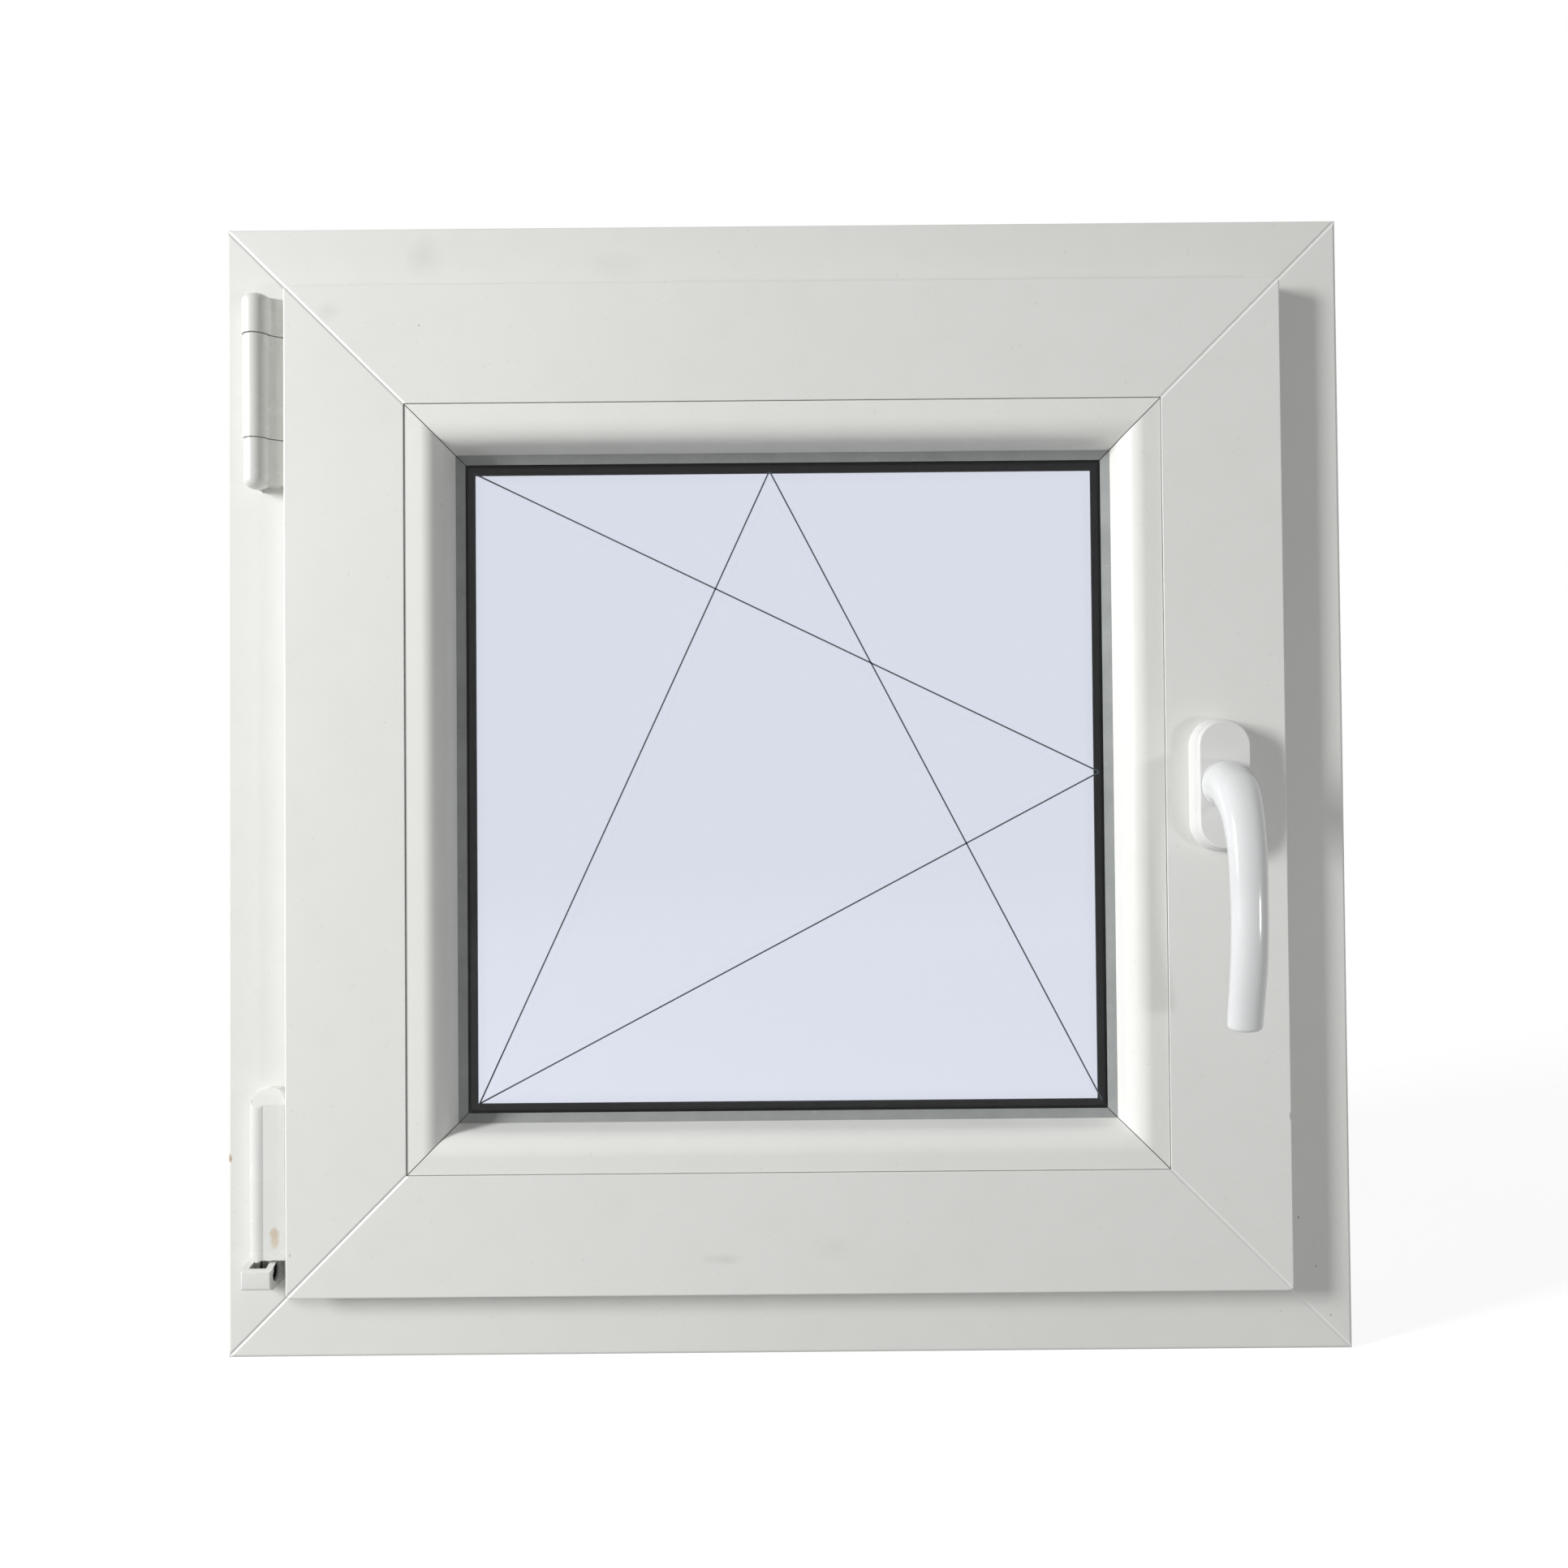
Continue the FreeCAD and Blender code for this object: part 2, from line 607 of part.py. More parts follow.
def lever_stations():
    """The lever's path with each span of its bend halved, past those of its neck, then its rounded tip."""
    path = lever_path()
    numbers = [float(index) for index in range(len(path))]
    place, size = Part.BSplineCurve(), Part.BSplineCurve()
    place.interpolate(Points=[Vector(*station[:3]) for station in path], Parameters=numbers)
    size.interpolate(Points=[Vector(station[3], station[4], 0) for station in path], Parameters=numbers)
    stations = []
    between = [lever_neck_count + 0.5 + span for span in range(lever_bend_count)]
    for number in sorted(numbers + between):
        at, across = place.value(number), size.value(number)
        stations.append((at.x, at.y, at.z, across.x, across.y))
    proud, height, heading, width, thickness = stations[-1]
    for part, inset in lever_tip_steps:
        drop = part * lever_tip_round
        lean = drop * math.tan(math.radians(heading - 90))
        shrink = 2 * inset * lever_tip_round
        stations.append((proud - lean, height - drop, heading, width - shrink, thickness - shrink))
    return stations


def oval(width, thickness):
    """A smooth closed wire about the origin in the XY plane, a little squarer than an ellipse."""
    points = []
    for step in range(oval_points):
        angle = 2 * math.pi * step / oval_points
        x, y = math.cos(angle), math.sin(angle)
        points.append(Vector(width / 2 * math.copysign(abs(x) ** oval_power, x),
                             thickness / 2 * math.copysign(abs(y) ** oval_power, y), 0))
    curve = Part.BSplineCurve()
    curve.interpolate(points, PeriodicFlag=True)
    return Part.Wire(curve.toShape())


def rosette_slice(inset, level):
    """The rosette's outline at one level, drawn in from the plate's foot."""
    return stadium(rosette_height - 2 * inset, rosette_width - 2 * inset, -level)


def make_handle(parts):
    seam = rosette_taper * rosette_plate / rosette_thickness
    plate = Part.makeLoft([rosette_slice(0, 0), rosette_slice(seam, rosette_plate)], True, True)
    rim = rosette_edge_radius
    cover = Part.makeLoft([rosette_slice(seam + rosette_seam, rosette_plate),
                           rosette_slice(rosette_taper, rosette_thickness - rim),
                           rosette_slice(rosette_taper + rim, rosette_thickness)], True, True)
    bore = Part.makeBox(spindle_bore, 2 * rosette_thickness, spindle_bore,
                        Vector(-spindle_bore / 2, -1.5 * rosette_thickness, -spindle_bore / 2))
    sections = []
    for proud, height, heading, width, thickness in lever_stations():
        wire = oval(width, thickness)
        wire.Placement = Placement(Vector(0, -proud, height), Rotation(Vector(1, 0, 0), 90 + heading))
        sections.append(wire)
    grip_start = lever_neck_count + 2 * lever_bend_count - 1
    bend = Part.makeLoft(sections[:grip_start + 1], True, True)
    lever = bend.fuse(Part.makeLoft(sections[grip_start:], True, True))
    side = spindle_square
    start = rosette_thickness + lever_gap + spindle_socket
    spindle = Part.makeBox(side, start + spindle_reach - 2, side, Vector(-side / 2, -start, -side / 2))
    lever = lever.cut(spindle)
    for name, shape in (("handle_base_plate", plate.cut(bore)), ("handle_rosette", cover.cut(bore)),
                        ("handle_lever", lever), ("handle_spindle", spindle)):
        shape.translate(Vector(handle_x, sash_room, handle_height))
        parts[name] = shape


handle_x = sash_width / 2 - sash_flange_width - handle_backset
hinge_x = -sash_width / 2 - hinge_barrel_offset
hinge_y = frame_room - hinge_cap_radius


def main():
    parts = {}
    make_frame(parts)
    make_sash(parts)
    make_glazing(parts)
    make_seals(parts)
    make_top_hinge(parts)
    make_lower_hinge(parts)
    make_handle(parts)
    os.makedirs("parts", exist_ok=True)
    for name, shape in parts.items():
        shape.exportStep("parts/" + name + ".step")
        print(name, len(shape.Solids), round(shape.Volume), shape.isValid())


main()
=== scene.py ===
"""Looks of a closed white tilt and turn window, seen from the room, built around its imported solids."""

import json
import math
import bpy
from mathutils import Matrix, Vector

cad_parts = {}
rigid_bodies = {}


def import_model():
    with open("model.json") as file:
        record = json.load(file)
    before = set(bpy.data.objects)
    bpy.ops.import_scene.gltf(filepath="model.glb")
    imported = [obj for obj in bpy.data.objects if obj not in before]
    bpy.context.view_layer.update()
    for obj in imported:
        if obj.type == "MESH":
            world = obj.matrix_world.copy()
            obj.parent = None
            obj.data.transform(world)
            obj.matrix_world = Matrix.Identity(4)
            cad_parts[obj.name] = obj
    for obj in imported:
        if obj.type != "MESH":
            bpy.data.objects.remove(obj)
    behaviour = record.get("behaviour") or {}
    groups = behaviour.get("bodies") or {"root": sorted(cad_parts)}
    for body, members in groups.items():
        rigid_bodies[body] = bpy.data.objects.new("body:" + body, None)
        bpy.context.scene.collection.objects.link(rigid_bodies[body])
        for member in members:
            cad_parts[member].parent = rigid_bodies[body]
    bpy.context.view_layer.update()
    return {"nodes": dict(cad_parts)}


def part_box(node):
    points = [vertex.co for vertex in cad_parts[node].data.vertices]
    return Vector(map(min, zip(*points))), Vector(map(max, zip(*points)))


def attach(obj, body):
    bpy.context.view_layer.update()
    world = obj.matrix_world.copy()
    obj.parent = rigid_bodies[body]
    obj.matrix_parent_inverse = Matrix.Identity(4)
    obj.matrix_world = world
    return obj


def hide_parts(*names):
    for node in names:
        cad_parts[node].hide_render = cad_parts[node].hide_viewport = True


bl_info = {
    "name": "Tilt and Turn Window",
    "version": (1, 0, 0),
    "blender": (4, 5, 0),
    "location": "3D View > Sidebar > Window",
    "description": "Builds the pieces, finishes and stage of a white tilt and turn window",
    "category": "Object",
}

from functools import partial

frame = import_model()

import bmesh
import bpy
import numpy as np
from bpy.props import BoolProperty, FloatProperty, FloatVectorProperty, IntProperty, PointerProperty
from bpy.types import Operator, Panel, PropertyGroup
from mathutils import Matrix, Vector

MM = 0.001
SIDES = {"bottom": 0, "left": 90, "top": 180, "right": 270}
GRAIN = {"bottom": "x", "left": "z", "top": "x", "right": "z"}


def corner_boxes(*names):
    """Lowest and highest corners of some nodes together."""
    boxes = np.array([[list(corner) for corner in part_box(name)] for name in names])
    return boxes[:, 0].min(axis=0), boxes[:, 1].max(axis=0)


# Planes and outer sizes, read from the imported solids
FRAME_LOW, FRAME_HIGH = corner_boxes("frame_sill", "frame_head", "frame_hinge_jamb", "frame_lock_jamb")
SASH_LOW, SASH_HIGH = corner_boxes("sash_bottom_rail", "sash_top_rail", "sash_hinge_stile", "sash_lock_stile")
BEAD_LOW, BEAD_HIGH = corner_boxes("bead_bottom", "bead_top", "bead_hinge_side", "bead_lock_side")
ROSETTE_LOW, ROSETTE_HIGH = corner_boxes("handle_base_plate", "handle_rosette")
PLATE_LOW, PLATE_HIGH = corner_boxes("handle_base_plate")
COVER_LOW, COVER_HIGH = corner_boxes("lower_hinge_cover")
PIN_LOW, PIN_HIGH = corner_boxes("top_hinge_pin")

MIDDLE = (FRAME_LOW[2] + FRAME_HIGH[2]) / 2
FRAME_SIZE = FRAME_HIGH - FRAME_LOW
SASH_SIZE = SASH_HIGH - SASH_LOW
BEAD_GAP = 0.3 * MM
REBATE_SIZE = BEAD_HIGH - BEAD_LOW + 2 * BEAD_GAP
FRAME_ROOM, FRAME_WEATHER = FRAME_LOW[1], FRAME_HIGH[1]
SASH_ROOM, SASH_WEATHER = SASH_LOW[1], SASH_HIGH[1]
BEAD_BACK = BEAD_HIGH[1]
GLASS_ROOM = corner_boxes("glass_pane_room")[0][1]
SASH_FACE = (SASH_SIZE[0] - REBATE_SIZE[0]) / 2
HINGE_X, HINGE_Y = (PIN_LOW[:2] + PIN_HIGH[:2]) / 2
HANDLE_X = (ROSETTE_LOW[0] + ROSETTE_HIGH[0]) / 2
HANDLE_Z = (ROSETTE_LOW[2] + ROSETTE_HIGH[2]) / 2

# The lever's course: shares of its projection and of its drop, its heading in degrees, and how far its width
# and its thickness have gone from the neck's to the grip's
LEVER_COURSE = ((0.43, 0.0025, 6, 0.0, 0.09), (0.635, 0.037, 30, 0.13, 0.37), (0.83, 0.131, 58, 0.63, 0.69),
                (0.96, 0.278, 76, 0.87, 0.93), (0.996, 0.49, 88, 1.0, 1.0), (0.96, 0.72, 97, 1.02, 1.04))
TIP_HEADING = 103
LEVER_RINGS = 90

# Powers of the sine and cosine in the lever's oval, and of the height in a barrel's dome
OVAL_POWER = 0.93
DOME_POWER = 2.4

# Small edges, steps and gaps
FINE_EDGE = 0.25 * MM
BEAD_EDGE = 0.3 * MM
BEAD_STEP = 3 * MM
GASKET_TIP_EDGE, GASKET_GLASS_EDGE = 0.15 * MM, 0.1 * MM
GLAZING_LIP_EDGE = 1.5 * MM
COVER_LEFT_EDGE, COVER_RIGHT_EDGE, COVER_FOOT_EDGE = 1.5 * MM, 1.0 * MM, 0.8 * MM
HOOD_BEND = 1 * MM
BRACKET_LIP_DEPTH = 4 * MM
POLE_RADIUS = 0.02 * MM
CAP_LIP = 0.2 * MM

# Rim of the handle's base plate: how far each ring is inset past the seam and lies behind the face
PLATE_RIM = np.array([(-0.02, 0.25), (0.1, 0.08), (0.25, 0)]) * MM

# Drain slots: places from the middle, box taken out, and heights above the frame's and the sash's lower edge
DRAIN_PLACES = (-160 * MM, 160 * MM)
DRAIN_BOX = (26 * MM, 5.6 * MM, 4 * MM)
FRAME_DRAIN, SASH_DRAIN = 12 * MM, 10 * MM

# Opening traces on the glass: two lines each, from (x, z) to (x, z) in millimetres
TRACES = {"turn": (((-168.7, 474.6), (170.7, 308.8)), ((170.7, 308.8), (-166.8, 132.2))),
          "tilt": (((-166.8, 132.2), (-7.2, 474.5)), ((-7.2, 474.5), (169.8, 131.5)))}
TRACE_THICKNESS = 0.12 * MM

# Lamps: place from the middle of the frame's room face, size in metres, and the setting that holds the power
LAMPS = {"key_lamp": ((-2.24, -1.2, 0.60), (0.45, 0.9), "key_power"),
         "fill_lamp": ((1.25, -1.1, -0.235), (0.12, 0.12), "fill_power"),
         "back_lamp": ((-1.1, 2.2, 0.1), (0.7, 0.7), "back_power")}

# The floor's grey, and its glow near the window and far from it, with the distances between which it grows
FLOOR_GREY = 0.4
GLOW_NEAR, GLOW_FAR = 0.84, 0.895
FADE_START, FADE_END = 0.5, 2.2

# Angles in degrees above which an edge stays sharp
SHARP_PROFILE, SHARP_SHELL, SHARP_LEVER = 18, 35, 60


def mm(name, description, default):
    """A length property whose default is given in millimetres."""
    return FloatProperty(name=name, description=description, default=default * MM, unit="LENGTH")


def watts(name, description, default):
    """A lamp's power."""
    return FloatProperty(name=name, description=description, default=default, unit="POWER")


def rgb(name, description, default):
    """A colour property."""
    return FloatVectorProperty(name=name, description=description, subtype="COLOR", size=3, min=0, max=1,
                               default=default)


class ProfileSizes(PropertyGroup):
    """Sections of the frame, sash, beads and gaskets."""

    frame_leg: mm("Frame leg", "Width of the frame's room face", 45.5)
    frame_reach: mm("Frame reach", "From the outer edge to the weather lip's edge", 65.5)
    lip_thickness: mm("Lip thickness", "Depth of the frame's weather lip", 10.5)
    frame_radius: mm("Frame edge radius", "Rounding of the frame's face edges", 2.0)
    lip_radius: mm("Lip radius", "Rounding of the weather lip", 3.0)
    anchor_width: mm("Anchor groove width", "Mouth of the dovetailed outer grooves", 8.0)
    anchor_depth: mm("Anchor groove depth", "Depth of the outer grooves", 3.5)
    anchor_flare: mm("Anchor groove flare", "How far the groove widens to its floor", 1.2)
    anchor_offset: mm("Anchor groove offset", "From mid depth to each groove", 20.0)
    flange_width: mm("Flange width", "How far the sash laps the frame", 21.5)
    flange_thickness: mm("Flange thickness", "Depth of the sash's flange", 11.0)
    sash_radius: mm("Sash edge radius", "Rounding of the sash's outer edge", 1.0)
    sash_corner: mm("Sash corner radius", "Rounding of the sash's four corners", 3.0)
    glazing_lip: mm("Glazing lip thickness", "Depth of the sash's weather lip", 21.0)
    glazing_slope: mm("Glazing lip slope", "How far the lip's edge leans back", 6.0)
    glazing_flat: mm("Glazing lip slope depth", "Depth of the sloping part", 11.0)
    small_radius: mm("Small edge radius", "Rounding of corners that are nearly sharp", 0.25)
    weld_width: mm("Weld groove width", "Width of the V along each mitre", 2.2)
    weld_depth: mm("Weld groove depth", "Depth of the V along each mitre", 0.45)
    bead_width: mm("Bead width", "Bead, from the rebate to its inner foot", 23.1)
    bead_draft: FloatProperty(name="Bead draft", description="Lean of the bead's inner side", subtype="ANGLE",
                              default=math.radians(12))
    bead_round: mm("Bead shoulder", "Radius of the bead's round shoulder", 12.0)
    bead_slope: mm("Bead slope", "How far the bead's face falls to its outer edge", 0.7)
    mitre_gap: mm("Mitre gap", "How far beads and gaskets stop short of their mitres", 0.3)
    bead_heel: mm("Bead heel", "Width of the bead's heel", 6.0)
    gasket_reach: mm("Gasket reach", "How far a gasket shows past the bead", 4.5)
    gasket_cover: mm("Gasket cover", "How far a gasket runs under the bead", 7.0)
    gasket_tip: mm("Gasket tip", "Thickness of a gasket's thin edge", 0.4)


class FittingSizes(PropertyGroup):
    """Hinges and handle."""

    barrel_cap: mm("Cap radius", "Radius of the top hinge's cap", 7.7)
    barrel_sleeve: mm("Sleeve radius", "Radius of the top hinge's sleeve", 7.2)
    barrel_foot: mm("Foot radius", "Radius of the top hinge's foot", 6.8)
    dome_height: mm("Dome height", "Height of the barrel's domed ends", 5.0)
    wing_root: mm("Wing root", "How far the wing stands out at the barrel", 9.8)
    wing_edge: mm("Wing edge", "How far the wing stands out at the sash", 3.6)
    wing_setback: mm("Wing setback", "From the barrel's axis to the start of the slope", 6.0)
    side_gap: mm("Hinge side gap", "From the wings to the sash's side", 0.4)
    wing_corner: mm("Wing corner", "Rounding of the wing's free corners", 2.4)
    cover_shoulder: mm("Cover shoulder", "How far the lower cover's left edge stands out", 11.1)
    cover_wing: mm("Cover wing", "How far the lower cover's flat wing stands out", 11.5)
    cover_ridge: mm("Cover ridge", "From the cover's right edge to its ridge", 15.5)
    cover_crease: mm("Cover crease", "From the cover's right edge to the wing's start", 11.9)
    cover_proud: mm("Cover depth", "How far the ridge's flanks would meet", 12.7)
    cover_ridge_radius: mm("Ridge radius", "Rounding of the ridge", 8.0)
    cover_hood: mm("Hood height", "Height over which the cover's top leans back", 10.8)
    cover_brow: mm("Brow height", "From the cover's top to the bend of its hood", 2.5)
    cover_brow_proud: mm("Brow depth", "How far the hood's bend stands out", 9.5)
    cover_rim_proud: mm("Rim depth", "Width of the upright rim round the hood", 5.3)
    cover_arch: mm("Hood arch", "Radius of the cover's top corners", 8.8)
    cover_foot: mm("Foot corner", "Radius of the cover's lower left corner", 3.0)
    bracket_lip: mm("Bracket lip", "How far the bracket's front lip is let down", 2.0)
    rosette_taper: mm("Rosette taper", "How far the rosette draws in to its face", 1.5)
    rosette_seam: mm("Rosette seam", "Step between the plate and the cap", 0.35)
    rosette_rim: mm("Rosette rim", "Rounding of the cap's rim", 1.2)
    neck_radius: mm("Neck radius", "Radius of the lever's neck", 12.4)
    lever_gap: mm("Lever gap", "Between the rosette and the lever", 0.3)
    lever_width: mm("Grip width", "Width of the lever's grip", 18.1)
    lever_thickness: mm("Grip thickness", "Thickness of the grip", 14.0)
    lever_projection: mm("Lever projection", "From the sash to the grip's axis", 44.4)
    tip_projection: mm("Tip projection", "From the sash to the tip's axis", 35.5)
    tip_width: mm("Tip width", "Width of the lever's tip", 17.4)
    tip_thickness: mm("Tip thickness", "Thickness of the lever's tip", 12.4)
    lever_drop: mm("Lever drop", "From the spindle to the lever's tip", 122.3)
    lever_tip_round: mm("Tip rounding", "Rounding of the lever's tip", 2.4)


class FinishSettings(PropertyGroup):
    """Colours and wear."""

    plastic: rgb("White plastic", "Frame", (0.80, 0.80, 0.775))
    sash_plastic: rgb("Sash plastic", "Sash", (0.825, 0.825, 0.80))
    bead_plastic: rgb("Bead plastic", "The cleaner white of the beads", (0.86, 0.86, 0.83))
    hinge_plastic: rgb("Hinge plastic", "The greyer white of the hinge covers", (0.72, 0.72, 0.69))
    soiling: rgb("Soiling", "Dust and handling marks on the white plastic", (0.50, 0.50, 0.45))
    soiling_amount: FloatProperty(name="Soiling amount", description="How much the dust and marks show",
                                  subtype="FACTOR", min=0, max=1, default=0.5)
    gasket: rgb("Grey gasket", "Gasket between bead and glass", (0.26, 0.275, 0.27))
    enamel: rgb("Lever enamel", "Glossy coat of the lever", (0.785, 0.795, 0.80))
    glass_tint: rgb("Glass tint", "Tint of each pane", (0.829, 0.848, 0.904))
    traces: BoolProperty(name="Opening traces", default=True,
                         description="Thin lines on the glass that show how the sash opens")
    trace_width: mm("Trace width", "Width of the opening traces", 0.8)


class StageSettings(PropertyGroup):
    """Camera, lamps and floor."""

    lens: FloatProperty(name="Lens", description="Focal length on a 36 mm wide sensor", default=29.894,
                        unit="CAMERA")
    eye: FloatVectorProperty(name="Eye", description="The camera's place", subtype="TRANSLATION", size=3,
                             default=(-0.000594, -0.734, 0.29214))
    aim: FloatVectorProperty(name="Aim", description="Yaw, pitch and roll of the camera", subtype="EULER",
                             size=3, default=(-0.00019, 0.01637, -0.00871))
    key_power: watts("Key power", "Lamp on the left", 68.5)
    fill_power: watts("Fill power", "Weak lamp on the right", 3.1)
    back_power: watts("Back power", "Lamp behind the window", 40.0)
    ambient: FloatProperty(name="Ambient", description="Strength of the even light from all round",
                           default=0.255, min=0)
    floor_size: FloatProperty(name="Floor size", description="Length of the floor's sides", default=9.0,
                              unit="LENGTH")
    shell_segments: IntProperty(name="Shell segments", description="Points round the barrels and the handle",
                                default=96, min=24)


def sizes():
    return bpy.context.scene.window_profiles


def fittings():
    return bpy.context.scene.window_fittings


def finishes():
    return bpy.context.scene.window_finishes


def stage_settings():
    return bpy.context.scene.window_stage


# Surfaces


def rounded_section(corners, steps=6):
    """Closed section through (u, y, radius) corners. Each corner becomes an arc tangent to both of its edges:
    its centre lies on the bisector, and its points turn evenly from the first tangent point to the second."""
    corners = np.array([list(corner) + [sizes().small_radius] * (3 - len(corner)) for corner in corners])
    place, radius = corners[:, :2], corners[:, 2:]

    def unit(vector):
        return vector / np.linalg.norm(vector, axis=1, keepdims=True)

    back, ahead = unit(np.roll(place, 1, axis=0) - place), unit(np.roll(place, -1, axis=0) - place)
    half = np.arccos(np.clip((back * ahead).sum(axis=1, keepdims=True), -1, 1)) / 2
    centre = place + unit(back + ahead) * radius / np.sin(half)
    start = place + back * radius / np.tan(half) - centre
    finish = place + ahead * radius / np.tan(half) - centre
    sweep = (math.pi - 2 * half)[:, None]
    share = np.linspace(0, 1, steps + 1)[None, :, None]
    arcs = start[:, None] * np.sin((1 - share) * sweep) + finish[:, None] * np.sin(share * sweep)
    return (centre[:, None] + arcs / np.sin(sweep)).reshape(-1, 2)


def skin(rows, around):
    """Faces of a closed tube of rows rings with around points each: a quad for each pair of neighbours, and
    one flat face over each end."""
    ring = np.arange(around)
    start = (np.arange(rows - 1) * around)[:, None]
    after = np.roll(ring, -1)
    quads = np.stack([start + ring, start + after, start + around + after, start + around + ring], axis=-1)
    ends = [list(range(around)), list(range((rows - 1) * around, rows * around))]
    return quads.reshape(-1, 4).tolist() + ends


def put(name, data):
    """A new object in the scene."""
    made = bpy.data.objects.new(name, data)
    bpy.context.scene.collection.objects.link(made)
    return made


def vertices(mesh):
    """A mesh's vertices, one to a row."""
    places = np.empty(len(mesh.vertices) * 3)
    mesh.vertices.foreach_get("co", places)
    return places.reshape(-1, 3)


def settle(mesh, material, body="window", slot=None, nodes=(), sharp=30, bevel=0.0, weighted=True):
    """A mesh's object, smooth up to the sharp angle, that rides on a body and replaces nodes."""
    mesh.materials.append(material)
    mesh.shade_smooth()
    mesh.set_sharp_from_angle(angle=math.radians(sharp))
    made = put(mesh.name, mesh)
    if bevel:
        soft = made.modifiers.new("soft_edges", "BEVEL")
        soft.width, soft.segments = bevel, 3
        soft.limit_method, soft.angle_limit = "ANGLE", math.radians(sharp)
    if weighted:
        made.modifiers.new("even_shading", "WEIGHTED_NORMAL").keep_sharp = True
    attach(made, body)
    if nodes:
        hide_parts(*nodes)
    return made


def piece(name, points, faces, material, **given):
    """A settled piece from points and faces, with its faces turned outward by the sign of its volume."""
    mesh = bpy.data.meshes.new(name)
    mesh.from_pydata(points.reshape(-1, 3).tolist(), [], faces)
    mesh.validate()
    mesh.calc_loop_triangles()
    index = np.empty(len(mesh.loop_triangles) * 3, dtype=np.int32)
    mesh.loop_triangles.foreach_get("vertices", index)
    a, b, c = vertices(mesh)[index.reshape(-1, 3)].transpose(1, 0, 2)
    if (a * np.cross(b, c)).sum() < 0:
        mesh.flip_normals()
    return settle(mesh, material, **given)


def turn_to(points, side):
    """Points of a bottom member, turned about the window's centre line to another side."""
    angle = math.radians(SIDES[side])
    x, y, z = points[..., 0], points[..., 1], points[..., 2] - MIDDLE
    return np.stack([x * math.cos(angle) + z * math.sin(angle), y,
                     z * math.cos(angle) - x * math.sin(angle) + MIDDLE], axis=-1)


def mitred_side(section, ring, side, corner=0.0, weld=0.0, gap=0.0, spans=12):
    """One side of a mitred ring. A section point (u, y) at distance t from a mitre lies at x = u + t and
    height u. Within the corner radius, points are drawn onto arcs about the corner's centre. Along each
    mitre, y is held within the faces less the weld depth times (1 - t over the weld's width). The rows crowd
    at the mitre and at the weld's rim."""
    length, across = (ring[2], ring[0]) if GRAIN[side] == "z" else (ring[0], ring[2])
    u, y = section.T
    reach = max(sizes().weld_width / math.sqrt(2), 0.1 * MM)
    near = np.unique(np.concatenate([[0, 0.06 * reach, reach, 1.15 * reach],
                                     np.linspace(0, max(corner, reach), 9)]))
    x = u + gap + near[:, None]
    depth = weld * np.clip(1 - near / reach, 0, 1)[:, None]
    level = np.clip(y, y.min() + depth, y.max() - depth) if weld else np.broadcast_to(y, x.shape)
    height = np.broadcast_to(u, x.shape)
    if corner:
        inside = (x < corner) & (height < corner)
        across_x, across_z = x - corner, height - corner
        distance = np.maximum(np.hypot(across_x, across_z), 1e-9)
        scale = np.where(inside, (corner - height) / distance, 1)
        x, height = corner + across_x * scale, corner + across_z * scale
    left = np.stack([x, level, height], axis=-1)
    right = left[::-1] * (-1, 1, 1) + (length, 0, 0)
    share = np.linspace(0, 1, spans + 1)[1:-1, None, None]
    middle = left[-1] * (1 - share) + right[0] * share
    points = np.concatenate([left, middle, right]) + (-length / 2, 0, MIDDLE - across / 2)
    return turn_to(points, side), skin(len(points), len(section))


